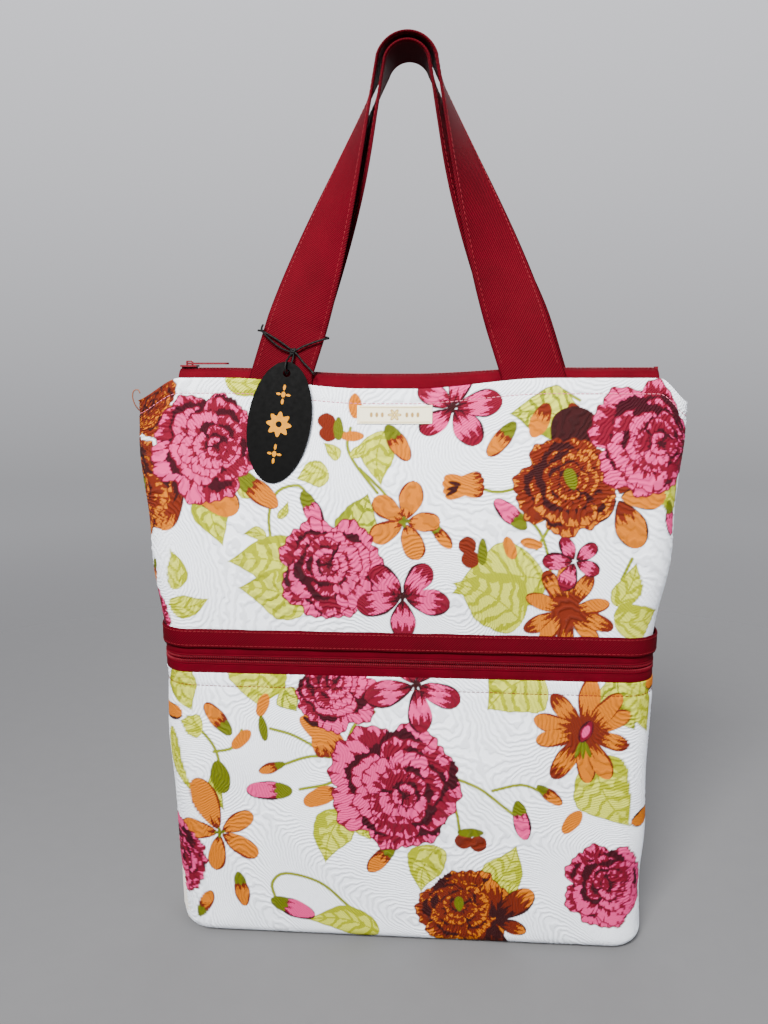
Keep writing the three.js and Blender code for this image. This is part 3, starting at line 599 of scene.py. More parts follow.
def paint_flowers(cloth):
    """The whole print of one panel, from the base to the top edge of the cloth."""
    for places in STEMS:
        cloth.stem(places)
    for n, (x, y, angle, length, width) in enumerate(LEAVES):
        shade = DARK_LEAF if n % 7 == 6 else LEAF
        cloth.leaf(x, y, angle, length, width, shade, seed=1.0 + 0.9 * n)
    paint_small_things(cloth)
    cloth.open_flower(137, 316, (34, 30, 42, 36, 22), [BROWN_BUD, PLAIN_ORANGE], BROWN, 1.0,
                      width=0.6, turn=-70)
    cloth.open_flower(-150, 330, (40, 44, 50, 30), [AMBER_PETAL, PLAIN_ORANGE], BROWN, 2.0,
                      width=0.5, turn=-118)
    cloth.petal(108, 328, 88, 0.0, 46, 32, PLAIN_BROWN, None, 2.0, 1.6)
    cloth.full_flower(106, 322, 66, AMBER_PETAL, RUST_PETAL, 4.0, PLAIN_OLIVE, turn=80)
    cloth.full_flower(-192, 318, 76, AMBER_PETAL, RUST_PETAL, 6.0, PLAIN_OLIVE, turn=10)
    cloth.full_flower(-176, 381, 46, AMBER_PETAL, RUST_PETAL, 7.0, turn=10)
    cloth.full_flower(40, 29, 62, AMBER_PETAL, RUST_PETAL, 9.0, PLAIN_OLIVE, turn=60)
    cloth.open_flower(60, 20, (34, 30, 26, 30, 40, 22), AMBER_PETAL, BROWN, 3.0, width=0.5, turn=40)
    cloth.full_flower(34, 28, 54, AMBER_PETAL, RUST_PETAL, 9.5, PLAIN_OLIVE, turn=60)
    cloth.open_flower(108, 240, (30, 30, 28, 30, 26, 32, 28, 30, 26, 28),
                      [DAISY_PETAL, DAISY_RUST_PETAL], RUST, 2.0, width=0.40)
    cloth.open_flower(121, 157, (36, 32, 33, 31, 36, 33, 34, 30, 32, 34),
                      [DAISY_PETAL, DAISY_RUST_PETAL, DAISY_PETAL], RUST, 5.0, width=0.40)
    for n in range(7):
        cloth.petal(121, 157, 50.0 * n + 11.0, 4.0, 15.0, 2.0, PLAIN_RUST, None, n, 0.7)
    for n in range(3):
        cloth.petal(120, 153, 250.0 + 22.0 * n, 2.0, 12.0, 3.0, PLAIN_OLIVE, None, n, 0.9)
    cloth.petal(122, 158, 65, -8.0, 16.0, 8.5, [(9.0, CRIMSON)], MAROON, 1.0, 1.0)
    cloth.petal(122, 158, 65, -4.5, 9.0, 4.5, [(9.0, PINK)], None, 1.0, 1.0)
    cloth.open_flower(0, 299, (26, 24, 24, 25, 22), ORANGE_PETAL, RUST, 1.0, PLAIN_OLIVE, 0.62, turn=70)
    cloth.open_flower(-130, 77, (40, 30, 27, 29, 27), ORANGE_PETAL, RUST, 3.0, PLAIN_OLIVE, 0.5, turn=112)
    cloth.open_flower(31, 378, (26, 26, 30, 30, 26), MAGENTA_PETAL, MAROON, 4.0, PLAIN_BROWN, 0.62, turn=150)
    cloth.open_flower(111, 274, (17, 17, 20, 20, 17), MAGENTA_PETAL, MAROON, 6.0, None, 0.62, turn=40)
    paint_tulip(cloth, 38, 323, 186, 28)
    paint_tulip(cloth, -56, 153, 118, 36)
    cloth.full_flower(-132, 349, 76, LIGHT_PETAL, DEEP_PETAL, 1.0, turn=-20)
    cloth.full_flower(158, 352, 76, LIGHT_PETAL, DEEP_PETAL, 1.6, turn=-10)
    cloth.full_flower(-47, 183, 58, LIGHT_PETAL, DEEP_PETAL, 3.2, turn=90)
    cloth.full_flower(-48, 264, 72, LIGHT_PETAL, DEEP_PETAL, 2.4, turn=110)
    cloth.open_flower(-1, 248, (27, 30, 28, 30, 27), MAGENTA_PETAL, MAROON, 2.0, PLAIN_BROWN, 0.62, turn=128)
    cloth.full_flower(-4, 118, 92, LIGHT_PETAL, DEEP_PETAL, 5.1, turn=-60)
    cloth.open_flower(8, 186, (30, 26, 34, 30, 30), MAGENTA_PETAL, MAROON, 8.0, PLAIN_BROWN, 0.55, turn=55)
    cloth.full_flower(138, 46, 62, LIGHT_PETAL, DEEP_PETAL, 6.3, turn=60)
    cloth.full_flower(-168, 52, 58, LIGHT_PETAL, DEEP_PETAL, 7.9, turn=0)
    cloth.full_flower(-192, 225, 56, LIGHT_PETAL, DEEP_PETAL, 8.4, turn=0)
    cloth.petal(128, 200, 120, 0.0, 20.0, 10.0, BROWN_BUD, RUST, 1.0)
    cloth.open_flower(-186, 160, (40, 34, 40, 30), [AMBER_PETAL, ORANGE_PETAL], BROWN, 3.0, width=0.4)
    cloth.open_flower(186, 96, (44, 30, 46, 30), [AMBER_PETAL, ORANGE_PETAL], BROWN, 5.0, width=0.4)
    cloth.open_flower(190, 190, (30, 26, 30, 24), [MAGENTA_PETAL, ORANGE_PETAL], BROWN, 7.0, width=0.4)


def swirls(u, v):
    """The jacquard's raised lines, like a map's contours: 1 on a line and 0 between."""
    height = 22.0 * np.sin(u / 29.0 + 1.4 * np.sin(v / 41.0) + 0.7)
    height += 19.0 * np.sin(v / 33.0 + 1.2 * np.sin(u / 37.0 + 2.0))
    height += 8.0 * np.sin((u + 1.6 * v) / 27.0 + 1.1 * np.sin((v - u) / 43.0))
    height += 0.8 * waves(u, v, 16.0, 5.0) + 0.35 * waves(u, v, 6.0, 9.0)
    line = np.abs(np.sin(1.70 * height))
    return smoothstep(line, 0.62, 0.97)


# --- Materials -------------------------------------------------------------------------------
class Shader:
    """One material's nodes, on a Principled surface."""

    def __init__(self, name, roughness=0.7, sheen=0.0, metallic=0.0, coat=0.0, specular=0.5):
        self.material = bpy.data.materials.new(name)
        self.material.use_nodes = True
        self.nodes, self.links = self.material.node_tree.nodes, self.material.node_tree.links
        self.surface = next(n for n in self.nodes if n.type == "BSDF_PRINCIPLED")
        self.surface.inputs["Roughness"].default_value = roughness
        self.surface.inputs["Metallic"].default_value = metallic
        self.surface.inputs["Specular IOR Level"].default_value = specular
        self.surface.inputs["Sheen Weight"].default_value = sheen
        self.surface.inputs["Sheen Roughness"].default_value = 0.4
        self.surface.inputs["Coat Weight"].default_value = coat

    def plug(self, socket, value):
        if isinstance(value, bpy.types.NodeSocket):
            self.links.new(value, socket)
        elif isinstance(value, (int, float)):
            socket.default_value = value
        else:
            socket.default_value = (*value, 1.0) if len(socket.default_value) == 4 else tuple(value)

    def math(self, operation, *values):
        node = self.nodes.new("ShaderNodeMath")
        node.operation = operation
        for socket, value in zip(node.inputs, values):
            self.plug(socket, value)
        return node.outputs[0]

    def attribute(self, name, output="Vector"):
        node = self.nodes.new("ShaderNodeAttribute")
        node.attribute_name = name
        return node.outputs[output]

    def parts(self, vector):
        node = self.nodes.new("ShaderNodeSeparateXYZ")
        self.plug(node.inputs[0], vector)
        return node.outputs

    def place(self, scale=1000.0):
        """The point's own place, in millimetres."""
        coordinates = self.nodes.new("ShaderNodeTexCoord").outputs["Object"]
        node = self.nodes.new("ShaderNodeVectorMath")
        node.operation = "SCALE"
        self.plug(node.inputs[0], coordinates)
        node.inputs["Scale"].default_value = scale
        return node.outputs[0]

    def noise(self, vector, scale, detail=3.0):
        node = self.nodes.new("ShaderNodeTexNoise")
        self.plug(node.inputs["Vector"], vector)
        node.inputs["Scale"].default_value = scale
        node.inputs["Detail"].default_value = detail
        return node.outputs["Fac"]

    def ramp(self, value, low, high, to_low, to_high):
        node = self.nodes.new("ShaderNodeMapRange")
        for socket, number in zip(node.inputs, (value, low, high, to_low, to_high)):
            self.plug(socket, number)
        return node.outputs[0]

    def scaled(self, colour, factor):
        node = self.nodes.new("ShaderNodeVectorMath")
        node.operation = "SCALE"
        self.plug(node.inputs[0], colour)
        self.plug(node.inputs["Scale"], factor)
        return node.outputs[0]

    def finish(self, colour, height=None, depth=0.0002, strength=0.6, roughness=None):
        self.plug(self.surface.inputs["Base Color"], colour)
        if roughness is not None:
            self.plug(self.surface.inputs["Roughness"], roughness)
        if height is not None:
            bump = self.nodes.new("ShaderNodeBump")
            bump.inputs["Strength"].default_value = strength
            bump.inputs["Distance"].default_value = depth
            self.plug(bump.inputs["Height"], height)
            self.plug(self.surface.inputs["Normal"], bump.outputs[0])
        return self.material


def threads(shader, u, v, pitch):
    """A plain weave: 0 to 1, over and under threads pitch mm apart."""
    k = 2.0 * math.pi / pitch
    first = shader.math("SINE", shader.math("MULTIPLY", u, k))
    second = shader.math("SINE", shader.math("MULTIPLY", v, k))
    return shader.math("MULTIPLY_ADD", shader.math("MULTIPLY", first, second), 0.5, 0.5)


def herringbone(shader, along, across, rib, pitch):
    """Slanted threads whose slant turns every rib mm across the webbing: 0 to 1."""
    zigzag = shader.math("PINGPONG", across, rib)
    slanted = shader.math("ADD", along, zigzag)
    wave = shader.math("SINE", shader.math("MULTIPLY", slanted, 2.0 * math.pi / pitch))
    return shader.math("MULTIPLY_ADD", wave, 0.5, 0.5)


def printed_cloth():
    shader = Shader("printed_cloth", roughness=0.62, specular=0.12)
    printed = shader.attribute("print", "Color")
    u, v, raised = shader.parts(shader.attribute("cloth"))
    weave = threads(shader, u, v, 0.9)
    fleck = shader.noise(shader.attribute("cloth"), 1.3, 2.0)
    light = shader.math("MULTIPLY_ADD", weave, 0.07, 0.90)
    light = shader.math("MULTIPLY_ADD", fleck, 0.10, light)
    # painted shade: the colour is darkened by a fifth along the jacquard's raised lines, standing in for the
    # shade along them
    light = shader.math("MULTIPLY_ADD", raised, -0.20, light)
    light = shader.math("ADD", light, 0.03)
    rough = shader.math("MULTIPLY_ADD", raised, -0.22, 0.70)
    height = shader.math("MULTIPLY_ADD", raised, 0.9, weave)
    return shader.finish(shader.scaled(printed, light), height, 0.00045, 0.7, rough)


def plain_cloth(name, colour, pitch=0.8):
    shader = Shader(name, roughness=0.8, sheen=0.2)
    place = shader.place()
    x, y, z = shader.parts(place)
    weave = threads(shader, shader.math("ADD", x, y), z, pitch)
    fleck = shader.noise(place, 0.6)
    light = shader.math("MULTIPLY_ADD", fleck, 0.25, shader.ramp(weave, 0.0, 1.0, 0.78, 0.92))
    return shader.finish(shader.scaled(colour, light), weave, 0.0002, 0.5)


def red_webbing():
    shader = Shader("red_webbing", roughness=0.75, specular=0.04)
    along, across, edge = shader.parts(shader.attribute("strip"))
    weave = herringbone(shader, along, across, 40.0, 1.7)
    fine = threads(shader, along, across, 0.7)
    height = shader.math("MULTIPLY_ADD", fine, 0.35, weave)
    wear = shader.noise(shader.place(), 0.05, 4.0)
    light = shader.math("MULTIPLY_ADD", weave, 0.75, shader.ramp(wear, 0.3, 0.7, 0.42, 0.62))
    # painted shade: the webbing is darker along its edges
    light = shader.math("MULTIPLY_ADD", edge, -0.25, light)
    colour = shader.scaled((0.060, 0.0003, 0.0036), light)
    return shader.finish(colour, height, 0.0003, 0.7)


def red_tape():
    shader = Shader("red_tape", roughness=0.75, specular=0.04)
    along, across, edge = shader.parts(shader.attribute("strip"))
    weave = herringbone(shader, along, across, 2.4, 0.95)
    wear = shader.noise(shader.place(), 0.08, 3.0)
    light = shader.math("MULTIPLY_ADD", weave, 0.50, shader.ramp(wear, 0.3, 0.7, 0.50, 0.72))
    # painted shade: the tape is darker along its edges
    light = shader.math("MULTIPLY_ADD", edge, -0.2, light)
    return shader.finish(shader.scaled((0.070, 0.0003, 0.0042), light), weave, 0.00022, 0.7)


def moulded(name, colour, roughness, speckle=0.5, metallic=0.0, coat=0.0, specular=0.4):
    """Moulded nylon, thread or metal: fine mottling in its colour and its gloss."""
    shader = Shader(name, roughness, metallic=metallic, coat=coat, specular=specular)
    place = shader.place()
    mottle = shader.noise(place, 0.35, 4.0)
    grain = shader.noise(place, 3.0, 2.0)
    light = shader.ramp(mottle, 0.3, 0.7, 1.0 - 0.3 * speckle, 1.0 + 0.15 * speckle)
    rough = shader.ramp(mottle, 0.3, 0.7, roughness + 0.08, max(roughness - 0.08, 0.05))
    return shader.finish(shader.scaled(linear(colour), light), grain, 0.00005, 0.4, rough)


def twisted_cord():
    shader = Shader("black_cord", roughness=0.6, specular=0.12)
    fibres = shader.noise(shader.place(), 4.0, 2.0)
    light = shader.ramp(fibres, 0.3, 0.7, 0.6, 1.5)
    return shader.finish(shader.scaled(linear("050505"), light), fibres, 0.0001, 0.6)


def woven_label_cloth():
    shader = Shader("label_weave", roughness=0.7, sheen=0.3)
    printed = shader.attribute("print", "Color")
    u, v, _ = shader.parts(shader.attribute("cloth"))
    weave = threads(shader, u, v, 0.55)
    light = shader.math("MULTIPLY_ADD", weave, 0.14, 0.86)
    return shader.finish(shader.scaled(printed, light), weave, 0.00015, 0.6)


def pale_floor():
    """The floor fades out into the plain surroundings well away from the bag."""
    shader = Shader("floor", roughness=0.9)
    place = shader.place(1.0)
    grain = shader.noise(place, 60.0)
    light = shader.ramp(grain, 0.3, 0.7, 0.97, 1.0)
    material = shader.finish(shader.scaled((0.105, 0.105, 0.108), light), grain, 0.0005, 0.1)
    x, y, _ = shader.parts(place)
    squares = shader.math("ADD", shader.math("MULTIPLY", x, x), shader.math("MULTIPLY", y, y))
    reach = shader.math("SQRT", squares)
    node = shader.nodes.new("ShaderNodeMapRange")
    node.interpolation_type = "SMOOTHSTEP"
    for socket, number in zip(node.inputs, (reach, 0.35, 1.9, 1.0, 0.0)):
        shader.plug(socket, number)
    shader.plug(shader.surface.inputs["Alpha"], node.outputs[0])
    return material


FLORAL = printed_cloth()
LINING = plain_cloth("lining_cloth", linear("CFC9BF"))
BASE_CLOTH = plain_cloth("base_cloth", linear("E4E6EE"))
SLEEVE_CLOTH = plain_cloth("sleeve_cloth", linear("E4E6EE"))
WEBBING = red_webbing()
TAPE = red_tape()
COIL = moulded("red_coil", "560614", 0.5, specular=0.15)
SLIDER = moulded("red_slider", "5A0614", 0.4, metallic=0.3, specular=0.3)
RED_THREAD = moulded("red_thread", "5C0814", 0.6, specular=0.15)
PINK_THREAD = moulded("pink_thread", "B0566C", 0.6)
BEIGE_THREAD = moulded("beige_thread", "CFC7AE", 0.6)
BROWN_THREAD = moulded("brown_thread", "6B3A22", 0.6)
CARD = moulded("black_card", "010101", 0.6, specular=0.05)
GOLD = moulded("gold_print", "A86C00", 0.5, specular=0.1)
CORD = twisted_cord()
LABEL = woven_label_cloth()


# --- Cord ------------------------------------------------------------------------------------
TAIL_LEFT = ((-93, -14.6, 34.5), (-94, -14.8, 31), (-90, -14.6, 26), (-83, -14, 20),
             (-76.9, -13.4, 17.2))
LOOP = ((-71.2, -13.4, 18.2), (-64, -13.2, 21.5), (-54.5, -13.1, 24.6), (-50.8, -10.4, 25.6),
        (-54.5, -7.5, 26.6), (-66, -7.3, 28), (-80, -7.3, 29.5), (-92.6, -7.4, 30.6),
        (-97.2, -10.2, 30.8), (-93.2, -13, 29.8), (-84, -13.2, 24.5), (-76.4, -13.4, 19.2))
TAIL_RIGHT = ((-71.4, -13.6, 15.4), (-67, -14.6, 10), (-62.5, -15.6, 5.5), (-60, -16.4, 2.5))
HANGER = ((-74.2, -13.5, 16.6), (-75.5, -14.3, 14.6), (-77.4, -19.2, 10.5), (-78, -20.9, 6),
          (-77.4, -18.8, 2.6), (-76.3, -15.9, 5.5), (-74.6, -14.6, 10), (-73.6, -13.6, 14.2),
          (-73.8, -13.5, 16.8))


def above_mouth(points):
    return [(x, y, CLOTH_TOP + z) for x, y, z in points]


def path_frames(line):
    """Directions along a line, and a normal carried along it without twisting."""
    along = unit(np.gradient(line, axis=0))
    normal = np.cross(along[0], (0.3, 1.0, 0.2))
    normals = []
    for direction in along:
        normal = unit(normal - direction * float(normal @ direction))
        normals.append(normal)
    return along, np.array(normals)


def twisted_tube(name, line, diameter, material, lobes=3, twist=2.4, sides=15):
    """A cord of a few strands, twisted together every twist diameters."""
    along, normal = path_frames(line)
    side = np.cross(along, normal)
    run = distances(line)
    angle = 2.0 * math.pi * np.arange(sides) / sides
    turned = angle[None, :] - 2.0 * math.pi * run[:, None] / (twist * diameter * lobes)
    bulge = np.abs(np.cos(lobes / 2.0 * turned))
    radius = diameter / 2 * (0.80 + 0.20 * bulge)
    radius[0] *= 0.6
    radius[-1] *= 0.6
    rings = (
        line[:, None, :]
        + normal[:, None, :] * (radius * np.cos(angle))[..., None]
        + side[:, None, :] * (radius * np.sin(angle))[..., None]
    )
    return capped_sweep(name, rings, material)


def make_cords():
    knot = above_mouth([KNOT])[0]
    route = above_mouth(TAIL_LEFT + (KNOT,) + LOOP + (KNOT,) + TAIL_RIGHT)
    line = smooth_line(route, 0.45)
    cord = twisted_tube("tag_cord", line, CORD_DIAMETER, CORD)
    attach(cord, "front_handle")
    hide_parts("cord_loop", "cord_tail_left", "cord_tail_right")

    turns = []
    for share in np.linspace(0.0, 1.0, 120):
        lift, round_it = math.pi * (share - 0.5), 2.0 * math.pi * 3.2 * share
        ring = 1.25 * math.cos(lift) + 0.25
        turns.append((
            knot[0] + ring * math.cos(round_it) + 0.8 * math.sin(lift),
            knot[1] + 0.55 * ring * math.sin(round_it),
            knot[2] + 1.5 * math.sin(lift) + 0.5 * math.cos(2.0 * round_it),
        ))
    tied = twisted_tube("tag_knot", smooth_line(turns, 0.4), CORD_DIAMETER, CORD)
    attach(tied, "front_handle")
    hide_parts("cord_knot")

    line = smooth_line(above_mouth(HANGER), 0.45)
    hanger = twisted_tube("tag_hanger", line, CORD_DIAMETER, CORD)
    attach(hanger, "hang_tag")
    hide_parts("cord_hanger")


# --- The cloth halves ------------------------------------------------------------------------
PANEL_STITCH_LOW = LOWER_TOP - 9.0
PANEL_STITCH_TOP = CLOTH_TOP - 10.0


def creases(u, z):
    """Folds of the cloth, in mm outwards: soft hollows, and pinches where it meets the band."""
    amount = 0.9 * waves(u, z, 120.0, 1.0) + 0.45 * waves(u, z, 52.0, 4.0)
    ends = 0.45 + 0.9 * smoothstep(np.abs(u), 95.0, 165.0)
    above = np.exp(-np.clip(z - UPPER_FOOT, 0.0, 200.0) / 17.0) * (z > 205.0)
    below = np.exp(-np.clip(LOWER_TOP - z, 0.0, 200.0) / 13.0) * (z < 205.0)
    pinch = np.sin(u / 6.1 + 1.9 * np.sin(u / 23.0)) + 0.7 * np.sin(u / 3.7 + 2.0 * np.sin(u / 17.0))
    amount += ends * pinch * (0.75 * above + 0.40 * below)
    top = np.exp(-np.clip(CLOTH_TOP - z, 0.0, 200.0) / 12.0)
    amount += 0.35 * top * np.sin(u / 9.0 + 1.5 * np.sin(u / 31.0))
    foot = np.exp(-z / 22.0)
    amount += 0.9 * foot * waves(u, z * 0.4, 46.0, 8.0)
    drape = smoothstep(np.abs(u), 120.0, 172.0) * np.sin(z / 15.0 + u / 21.0) * 0.8
    return amount + drape * smoothstep(z, 20.0, 60.0)


def cloth_grid(heights, insets, step):
    stations = loop_stations(step, step * 1.5)
    z = np.asarray(heights, float)[:, None]
    inset = np.asarray(insets, float)[:, None]
    points = wall(stations[None, :], z, inset)
    return points, stations, np.broadcast_to(z, points.shape[:2])


def round_the_bag(points, stations):
    """How far each point lies from its panel's middle, in mm round the wall."""
    steps = np.linalg.norm(np.roll(points, -1, axis=1) - points, axis=2)
    run = np.concatenate([np.zeros((len(points), 1)), np.cumsum(steps, axis=1)[:, :-1]], axis=1)
    front = run[:, [np.searchsorted(stations, 10.0)]]
    back = run[:, [np.searchsorted(stations, 30.0)]]
    on_back = (stations > 20.0)[None, :]
    return np.where(on_back, run - back, run - front)


def cloth_piece(name, heights, insets, step):
    points, stations, z = cloth_grid(heights, insets, step)
    u = round_the_bag(points, stations)
    on_back = np.broadcast_to((stations > 20.0)[None, :], u.shape)
    outside = (np.asarray(insets) <= 0.01)[:, None] & (z > 0.5)
    raised = swirls(u + BACK_SWIRL_SHIFT * on_back, z)
    lift = creases(u, z) * outside
    seam = np.minimum(np.abs(z - PANEL_STITCH_LOW), np.abs(z - PANEL_STITCH_TOP))
    lift = lift - 0.45 * np.exp(-(seam / 1.6) ** 2)
    side = np.abs(stations % 20.0 - 10.0)[None, :]
    lift = lift - 0.9 * smoothstep(side, 9.4, 10.0) * outside
    lift = lift * smoothstep(z, 0.5, 12.0) + 0.28 * raised * outside
    points = points + grid_normals(points) * lift[..., None]

    shown_v = np.where(on_back, (z + BACK_PRINT_SHIFT) % CLOTH_TOP, z)
    cloth = Print(u.ravel(), shown_v.ravel(), GROUND)
    paint_flowers(cloth)
    rows, columns = u.shape
    piece = quad_piece(name, points, grid_faces(rows, columns, wrap_columns=True), FLORAL)
    add_colours(piece, "print", cloth.colour)
    # raised also darkens the cloth's colour along its lines, as painted shade
    add_vectors(piece, "cloth", np.stack([u, z, raised], axis=-1))
    return piece


def rolled_edge(z, step):
    """Heights and insets that take the cloth over its edge and down inside."""
    turn = [(z + 0.7, 0.25), (z + 1.0, 0.9), (z + 0.7, 1.6), (z - 0.5, 2.0)]
    turn += [(z - step, 2.1), (z - 2 * step, 2.1), (z - 3 * step, 2.1)]
    return turn


def make_cloth():
    step = 0.6
    rise = [(z, 0.0) for z in np.arange(UPPER_FOOT - 1.0, CLOTH_TOP - 0.3, step)]
    profile = rise + rolled_edge(CLOTH_TOP - 1.0, 8.0)
    upper = cloth_piece("upper_cloth", *zip(*profile), step)
    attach(upper, "upper_body")
    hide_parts("upper_front_panel", "upper_back_panel")

    under = [(2.2, 2.4), (1.2, 2.0), (0.4, 1.0), (0.2, 0.4)]
    rise = [(z, 0.0) for z in np.arange(0.2, LOWER_TOP - 0.3, step)]
    profile = under + rise + rolled_edge(LOWER_TOP - 1.0, 3.0)
    lower = cloth_piece("lower_cloth", *zip(*profile), step)
    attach(lower, "lower_body")
    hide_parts("lower_front_panel", "lower_back_panel")


def seam_stations():
    """Stations for a row of stitches, which stops just short of meeting itself."""
    return loop_stations(SEAM_SPACING, SEAM_SPACING, 0.05, 39.95)


def wall_out(points):
    """Level outward directions along a line that runs round the wall."""
    along = np.gradient(points, axis=0)
    out = np.stack([along[:, 1], -along[:, 0], np.zeros(len(points))], axis=1)
    return unit(out)


def seam_stitches(name, z, body, thread):
    """A row of stitches round the wall, sunk into the seam's groove."""
    stations = seam_stations()
    line = wall(stations, z, -0.15)
    out = wall_out(line)
    depth = -0.35 + creases(round_line(line, stations), np.full(len(line), z))
    piece = stitches(name, line + out * depth[:, None], out, thread, SEAM_SPACING, 0.55)
    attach(piece, body)


def round_line(line, stations):
    return round_the_bag(line[None], stations)[0]


# --- The band and the middle zip -------------------------------------------------------------
def zip_stations():
    """Stations along the middle zip, which starts and ends near each other on the back."""
    whole = loop_stations(1.6, 1.6)
    return np.concatenate([whole[whole >= ZIP_START] - WHOLE_LOOP, whole[whole <= ZIP_END]])


def wall_strip(name, profile, material, body, node, closed=False, wave=0.0):
    """A strip of webbing or tape round the wall. Its section is a loop of (height, inset)."""
    stations = loop_stations(1.6, 1.6) if closed else zip_stations()
    heights, insets = np.array(profile).T
    rings = wall(stations[:, None], heights[None, :], insets[None, :])
    run = distances(rings[:, 0])
    ripple = wave * (np.sin(run / 8.0) + 0.6 * np.sin(run / 3.7 + 1.0))
    rings[..., 2] += ripple[:, None] * 0.5
    # the strip's third value marks its edges, which the materials darken as painted shade
    spread = np.abs(heights - heights.mean()) / max(np.ptp(heights) / 2, 0.1)
    strip = np.stack(np.broadcast_arrays(
        run[:, None], heights[None, :], smoothstep(spread, 0.82, 1.0)[None, :]), axis=-1)
    piece = capped_sweep(name, rings, material, strip, closed)
    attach(piece, body)
    if node:
        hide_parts(node)
    return piece


def flat_section(low, high, outer, thickness, steps=12, crown=0.0):
    """A flat strip's section, with rounded edges: up its outer face and down its inner one."""
    heights = np.linspace(low, high, steps + 1)
    lift = crown * np.sin(math.pi * np.linspace(0.0, 1.0, steps + 1))
    edge = np.array([0.3 * thickness] + [0.0] * (steps - 1) + [0.3 * thickness])
    face = list(zip(heights, outer - lift + edge))
    back = list(zip(heights[::-1], (outer - lift + thickness - edge)[::-1]))
    return face + back


def coil_teeth(name, z, body, node):
    """The nylon coil, as a row of turns across the tape's edge."""
    line = wall(zip_stations(), z, 0.9)
    places, direction = along_line(line, COIL_PITCH)
    out = unit(np.stack([direction[:, 1], -direction[:, 0], np.zeros(len(direction))], axis=1))
    across = np.cross(direction, out)
    piece = beads(name, places, across + 0.18 * direction, out, (2.1, 1.0, 1.7), COIL)
    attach(piece, body)
    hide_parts(node)


def make_band():
    coil_foot, coil_top = BAND_ZIP - 2.9, BAND_ZIP + 2.9
    band = flat_section(209.5, 223.0, -1.4, 1.1, 14, 0.25)
    wall_strip("band_strip", band, WEBBING, "upper_body", "band_webbing",
               closed=True, wave=0.25)
    lower = flat_section(LOWER_TOP - 0.6, coil_foot - 0.1, 0.5, 0.8, 10, 0.2)
    upper = flat_section(coil_top + 0.1, UPPER_FOOT - 2.0, 0.5, 0.8, 14, 0.2)
    wall_strip("tape_below", lower, TAPE, "lower_body", "mid_tape_lower")
    wall_strip("tape_above", upper, TAPE, "upper_body", "mid_tape_upper")
    for name, low, body in (("tape_lip_below", coil_foot, "lower_body"),
                            ("tape_lip_above", BAND_ZIP + 0.1, "upper_body")):
        lip = flat_section(low, low + 2.8, 1.9, 0.5, 4)
        wall_strip(name, lip, TAPE, body, None)
    coil_teeth("coil_below", BAND_ZIP - 1.45, "lower_body", "mid_coil_lower")
    coil_teeth("coil_above", BAND_ZIP + 1.45, "upper_body", "mid_coil_upper")
    for name, z, body in (("coil_cord_below", coil_foot, "lower_body"),
                          ("coil_cord_above", coil_top, "upper_body")):
        section = [(z + 0.75 * math.sin(a), 0.55 - 0.5 * math.cos(a))
                   for a in 2.0 * math.pi * np.arange(8) / 8]
        wall_strip(name, section, TAPE, body, None)
    make_end_tab()


def make_end_tab():
    section = flat_section(BAND_ZIP - 7.9, BAND_ZIP + 4.4, -1.6, 1.3, 10, 0.2)
    stations = np.linspace(34.96, 36.04, 9)
    heights, insets = np.array(section).T
    rings = wall(stations[:, None], heights[None, :], insets[None, :])
    run = np.linspace(0.0, 8.0, len(stations))
    strip = np.stack(np.broadcast_arrays(run[:, None], heights[None, :], 0.0), axis=-1)
    piece = capped_sweep("zip_end_cover", rings, WEBBING, strip)
    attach(piece, "lower_body")
    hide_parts("mid_zip_end_tab")


def make_expansion():
    """The pleated cloth folded inside the middle zip, which on the bag draws out as the upper half lifts;
    here it is built folded.
    """
    stations = loop_stations(2.0, 2.0)
    pleats = 5
    share = np.linspace(0.0, 1.0, 8 * pleats + 1)
    heights = 191.8 + share * 26.5
    inset = 6.3 + 1.9 * np.cos(2.0 * math.pi * pleats * share)
    outer = wall(stations[:, None], heights[None, :], inset[None, :])
    inner = wall(stations[:, None], heights[None, ::-1], inset[None, ::-1] + 0.5)
    rings = np.concatenate([outer, inner], axis=1)
    piece = capped_sweep("expansion_sleeve", rings, SLEEVE_CLOTH, closed=True)
    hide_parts("expansion_panel")
    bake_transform(piece)


# --- The mouth -------------------------------------------------------------------------------
def mouth_sag(x):
    return 4.0 * (1.0 - smoothstep(np.abs(x + 12.0), 15.0, 110.0))


def clear_of_legs(x, side):
    span = HANDLE_SPAN if side < 0 else HANDLE_SPAN + HANDLE_SPREAD
    return smoothstep(np.abs(np.abs(x) - span), 21.0, 27.0)


def mouth_strip(name, side, first, last, body, node):
    x = np.arange(first, last + 0.1, 1.5)
    bulge = 1.3 * clear_of_legs(x, side)
    ripple = 0.25 * np.sin(x / 7.0) + 0.2 * np.sin(x / 2.9 + side)
    path = ((9.6, -12.0), (9.6, -5.0), (9.4, -1.0), (8.9, 1.8), (7.4, 4.2), (5.4, 5.6), (3.3, 6.2))
    shape, inner = [], []
    for y, z in path:
        low = 1.0 - smoothstep(z, -2.0, 5.0)
        shape.append((y + bulge * low, z + ripple * (1.0 - low) * 0.6))
        inner.append((y - 0.8 + bulge * low, z - 0.35 + ripple * (1.0 - low) * 0.6))
    rows = [shape, inner[::-1]]
    points = np.stack([
        np.stack([x, side * y, CLOTH_TOP + z - mouth_sag(x)], axis=-1)
        for row in rows for y, z in row
    ], axis=1)
    if side > 0:
        points = points[:, ::-1]
    across = np.linspace(0.0, 20.0, len(path))
    across = np.concatenate([across, across[::-1]])
    strip = np.stack(np.broadcast_arrays(x[:, None], across[None, :], 0.0), axis=-1)
    piece = capped_sweep(name, points[:, ::-1], TAPE, strip[:, ::-1])
    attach(piece, body)
    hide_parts(node)


